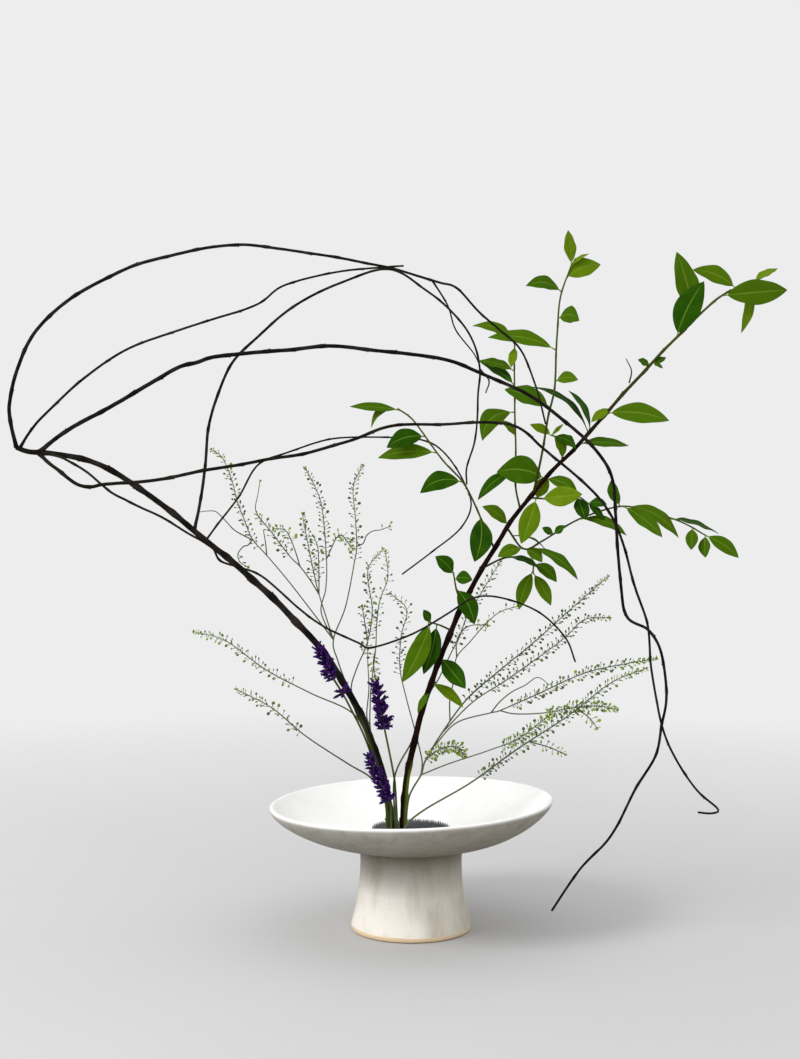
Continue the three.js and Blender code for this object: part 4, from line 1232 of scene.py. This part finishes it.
GOLDEN_TURN = math.radians(137.5)
PEDICEL_LENGTH = 4.2
PEDICEL_RADII = [0.22, 0.19, 0.19]
POD_LENGTH = 3.0
TIP_BUDS = 10
SPRIG_SIDES = 7
SPRIG_RADII = (0.95, 0.38)  # of a main stalk, from its foot to its tip
BRANCH_RADII = (0.65, 0.38)


def pod(shells, seat, direction, reach, size, tone):
    """A thin sagging stalk with a flat round pod at its end."""
    end = seat + direction * reach
    line = np.array([seat, (seat + end) / 2 - [0, 0, 0.1 * reach], end])
    shells.add(*tube(line, PEDICEL_RADII, 4), tone=0.15 + max(0.0, tone - 0.6))
    centre = end + direction * size * 0.4
    shells.add(*lump(centre, direction, size, size * 0.85, size * 0.5, 8), tone=tone)


def raceme(shells, line, first, last, pitch, ripeness, rng):
    """Pods all round a stretch of a branch, closer and younger towards the branch's tip."""
    tangents, normals, crosswise = carried_frames(line)
    distances = distances_along(line)
    at, end = first * distances[-1], last * distances[-1]
    length = end - at
    turn = rng.uniform(0, 2 * math.pi)
    while at < end:
        age = (end - at) / length
        i = min(int(np.searchsorted(distances, at)), len(line) - 1)
        turn += GOLDEN_TURN + rng.uniform(-0.4, 0.4)
        outward = turned(normals[i], crosswise[i], turn)
        direction = unit(outward + tangents[i] * rng.uniform(0.2, 0.7) * (1.6 - age))
        young = max(0.0, 1 - age * 4)
        reach = PEDICEL_LENGTH * rng.uniform(0.6, 1.2) * (1 - 0.6 * young)
        size = POD_LENGTH * rng.uniform(0.6, 1.15) * (1 - 0.45 * young)
        tone = min(1.0, max(0.4, ripeness + 0.4 * young + rng.uniform(-0.3, 0.25)))
        pod(shells, line[i], direction, reach, size, tone)
        at += pitch * rng.uniform(0.45, 1.55) * (1 - 0.5 * young)


def tip_buds(shells, line, rng):
    """The tight cluster of buds that ends a branch."""
    forward = unit(line[-1] - line[-2])
    for _ in range(TIP_BUDS):
        spread = np.array([rng.uniform(-1, 1) for _ in range(3)])
        direction = unit(forward + spread * 0.7)
        reach = rng.uniform(0.6, 2.0)
        size = rng.uniform(0.8, 1.4)
        pod(shells, line[-1], direction, reach, size, rng.uniform(0.8, 1.0))


def sprigs():
    """Each sprig with its branches and their pods."""
    for number, (name, sprig) in enumerate(SPRIGS.items()):
        rng = random.Random(700 + number)
        shells = Shells()
        for order, (route, pods) in enumerate(zip(sprig["routes"], sprig["pods"])):
            line = growing_line(route, order == 0 and sprig["foot"], FINE_STEP)
            radii = np.linspace(*(BRANCH_RADII if order else SPRIG_RADII), len(line))
            tone = ring_values(np.linspace(0.0, 0.65, len(line)), SPRIG_SIDES)
            shells.add(*tube(line, radii, SPRIG_SIDES), tone=tone)
            if pods:
                raceme(shells, line, *pods, rng)
                tip_buds(shells, line, rng)
        show(shells, f"{name}_pods", "sprig_green", [name], SPRIG)


# ---------------------------------------------------------------- stage, light and camera

FLOOR_RADIUS = 4.0
FLOOR_HEIGHT = -0.0004  # just under the bowl's foot
FLOOR_FADE = (0.35, 1.5)  # how far out the floor starts and ends to melt into the backdrop
STUDIO_GREY = (237, 237, 238)
CEILING_RISE = (0.4, 0.9)  # the upward part of a direction where the ceiling starts and is full
CEILING_STRENGTH = 1.1  # of the backdrop's
LIGHT_AIM = (0, 0, 0.3)


def floor():
    """A plain pale disc that fades away at its edge."""
    bpy.ops.mesh.primitive_circle_add(
        vertices=96, radius=FLOOR_RADIUS, fill_type="NGON", location=(0, 0, FLOOR_HEIGHT)
    )
    ground = bpy.context.object
    ground.name = "studio_floor"
    s = Shader("studio_floor")
    length = s.node("ShaderNodeVectorMath", operation="LENGTH")
    s.feed(length.inputs[0], s.coordinates)
    distance = length.outputs["Value"]
    s.set(Base_Color=s.mix(s.noise(3, 2), (196, 196, 196), (202, 202, 202)), Roughness=0.9)
    s.set(Alpha=s.span(distance, *FLOOR_FADE, 1, 0))
    ground.data.materials.append(s.material)


def surroundings():
    """A pale backdrop all round under a brighter ceiling."""
    world = bpy.data.worlds.new("studio")
    world.use_nodes = True
    tree = world.node_tree
    direction = tree.nodes.new("ShaderNodeTexCoord").outputs["Generated"]
    parts = tree.nodes.new("ShaderNodeSeparateXYZ")
    tree.links.new(direction, parts.inputs[0])
    ceiling = tree.nodes.new("ShaderNodeMapRange")
    ceiling.interpolation_type = "SMOOTHSTEP"
    tree.links.new(parts.outputs["Z"], ceiling.inputs["Value"])
    limits = (*CEILING_RISE, 1.0, CEILING_STRENGTH)
    for name, limit in zip(("From Min", "From Max", "To Min", "To Max"), limits):
        ceiling.inputs[name].default_value = limit
    background = tree.nodes["Background"]
    background.inputs["Color"].default_value = colour(STUDIO_GREY)
    tree.links.new(ceiling.outputs["Result"], background.inputs["Strength"])
    bpy.context.scene.world = world


def soft_light(name, location, size, power):
    data = bpy.data.lights.new(name, "AREA")
    data.shape = "DISK"
    data.size = size
    data.energy = power
    light = bpy.data.objects.new(name, data)
    bpy.context.collection.objects.link(light)
    light.location = location
    aim = Vector(LIGHT_AIM) - light.location
    light.rotation_euler = aim.to_track_quat("-Z", "Y").to_euler()


def camera():
    data = bpy.data.cameras.new("camera")
    data.lens = LENS
    data.sensor_width = SENSOR_WIDTH
    eye = bpy.data.objects.new("camera", data)
    bpy.context.collection.objects.link(eye)
    eye.location = EYE * METRES
    eye.rotation_euler = (math.radians(90 - EYE_PITCH), 0, 0)
    bpy.context.scene.camera = eye


footed_bowl()
pin_holder()
vine()
leaves(shrub())
lavender()
sprigs()

floor()
surroundings()
soft_light("key", location=(-1.9, -1.4, 2.0), size=1.1, power=44)
camera()
bpy.context.scene.view_settings.view_transform = "Standard"
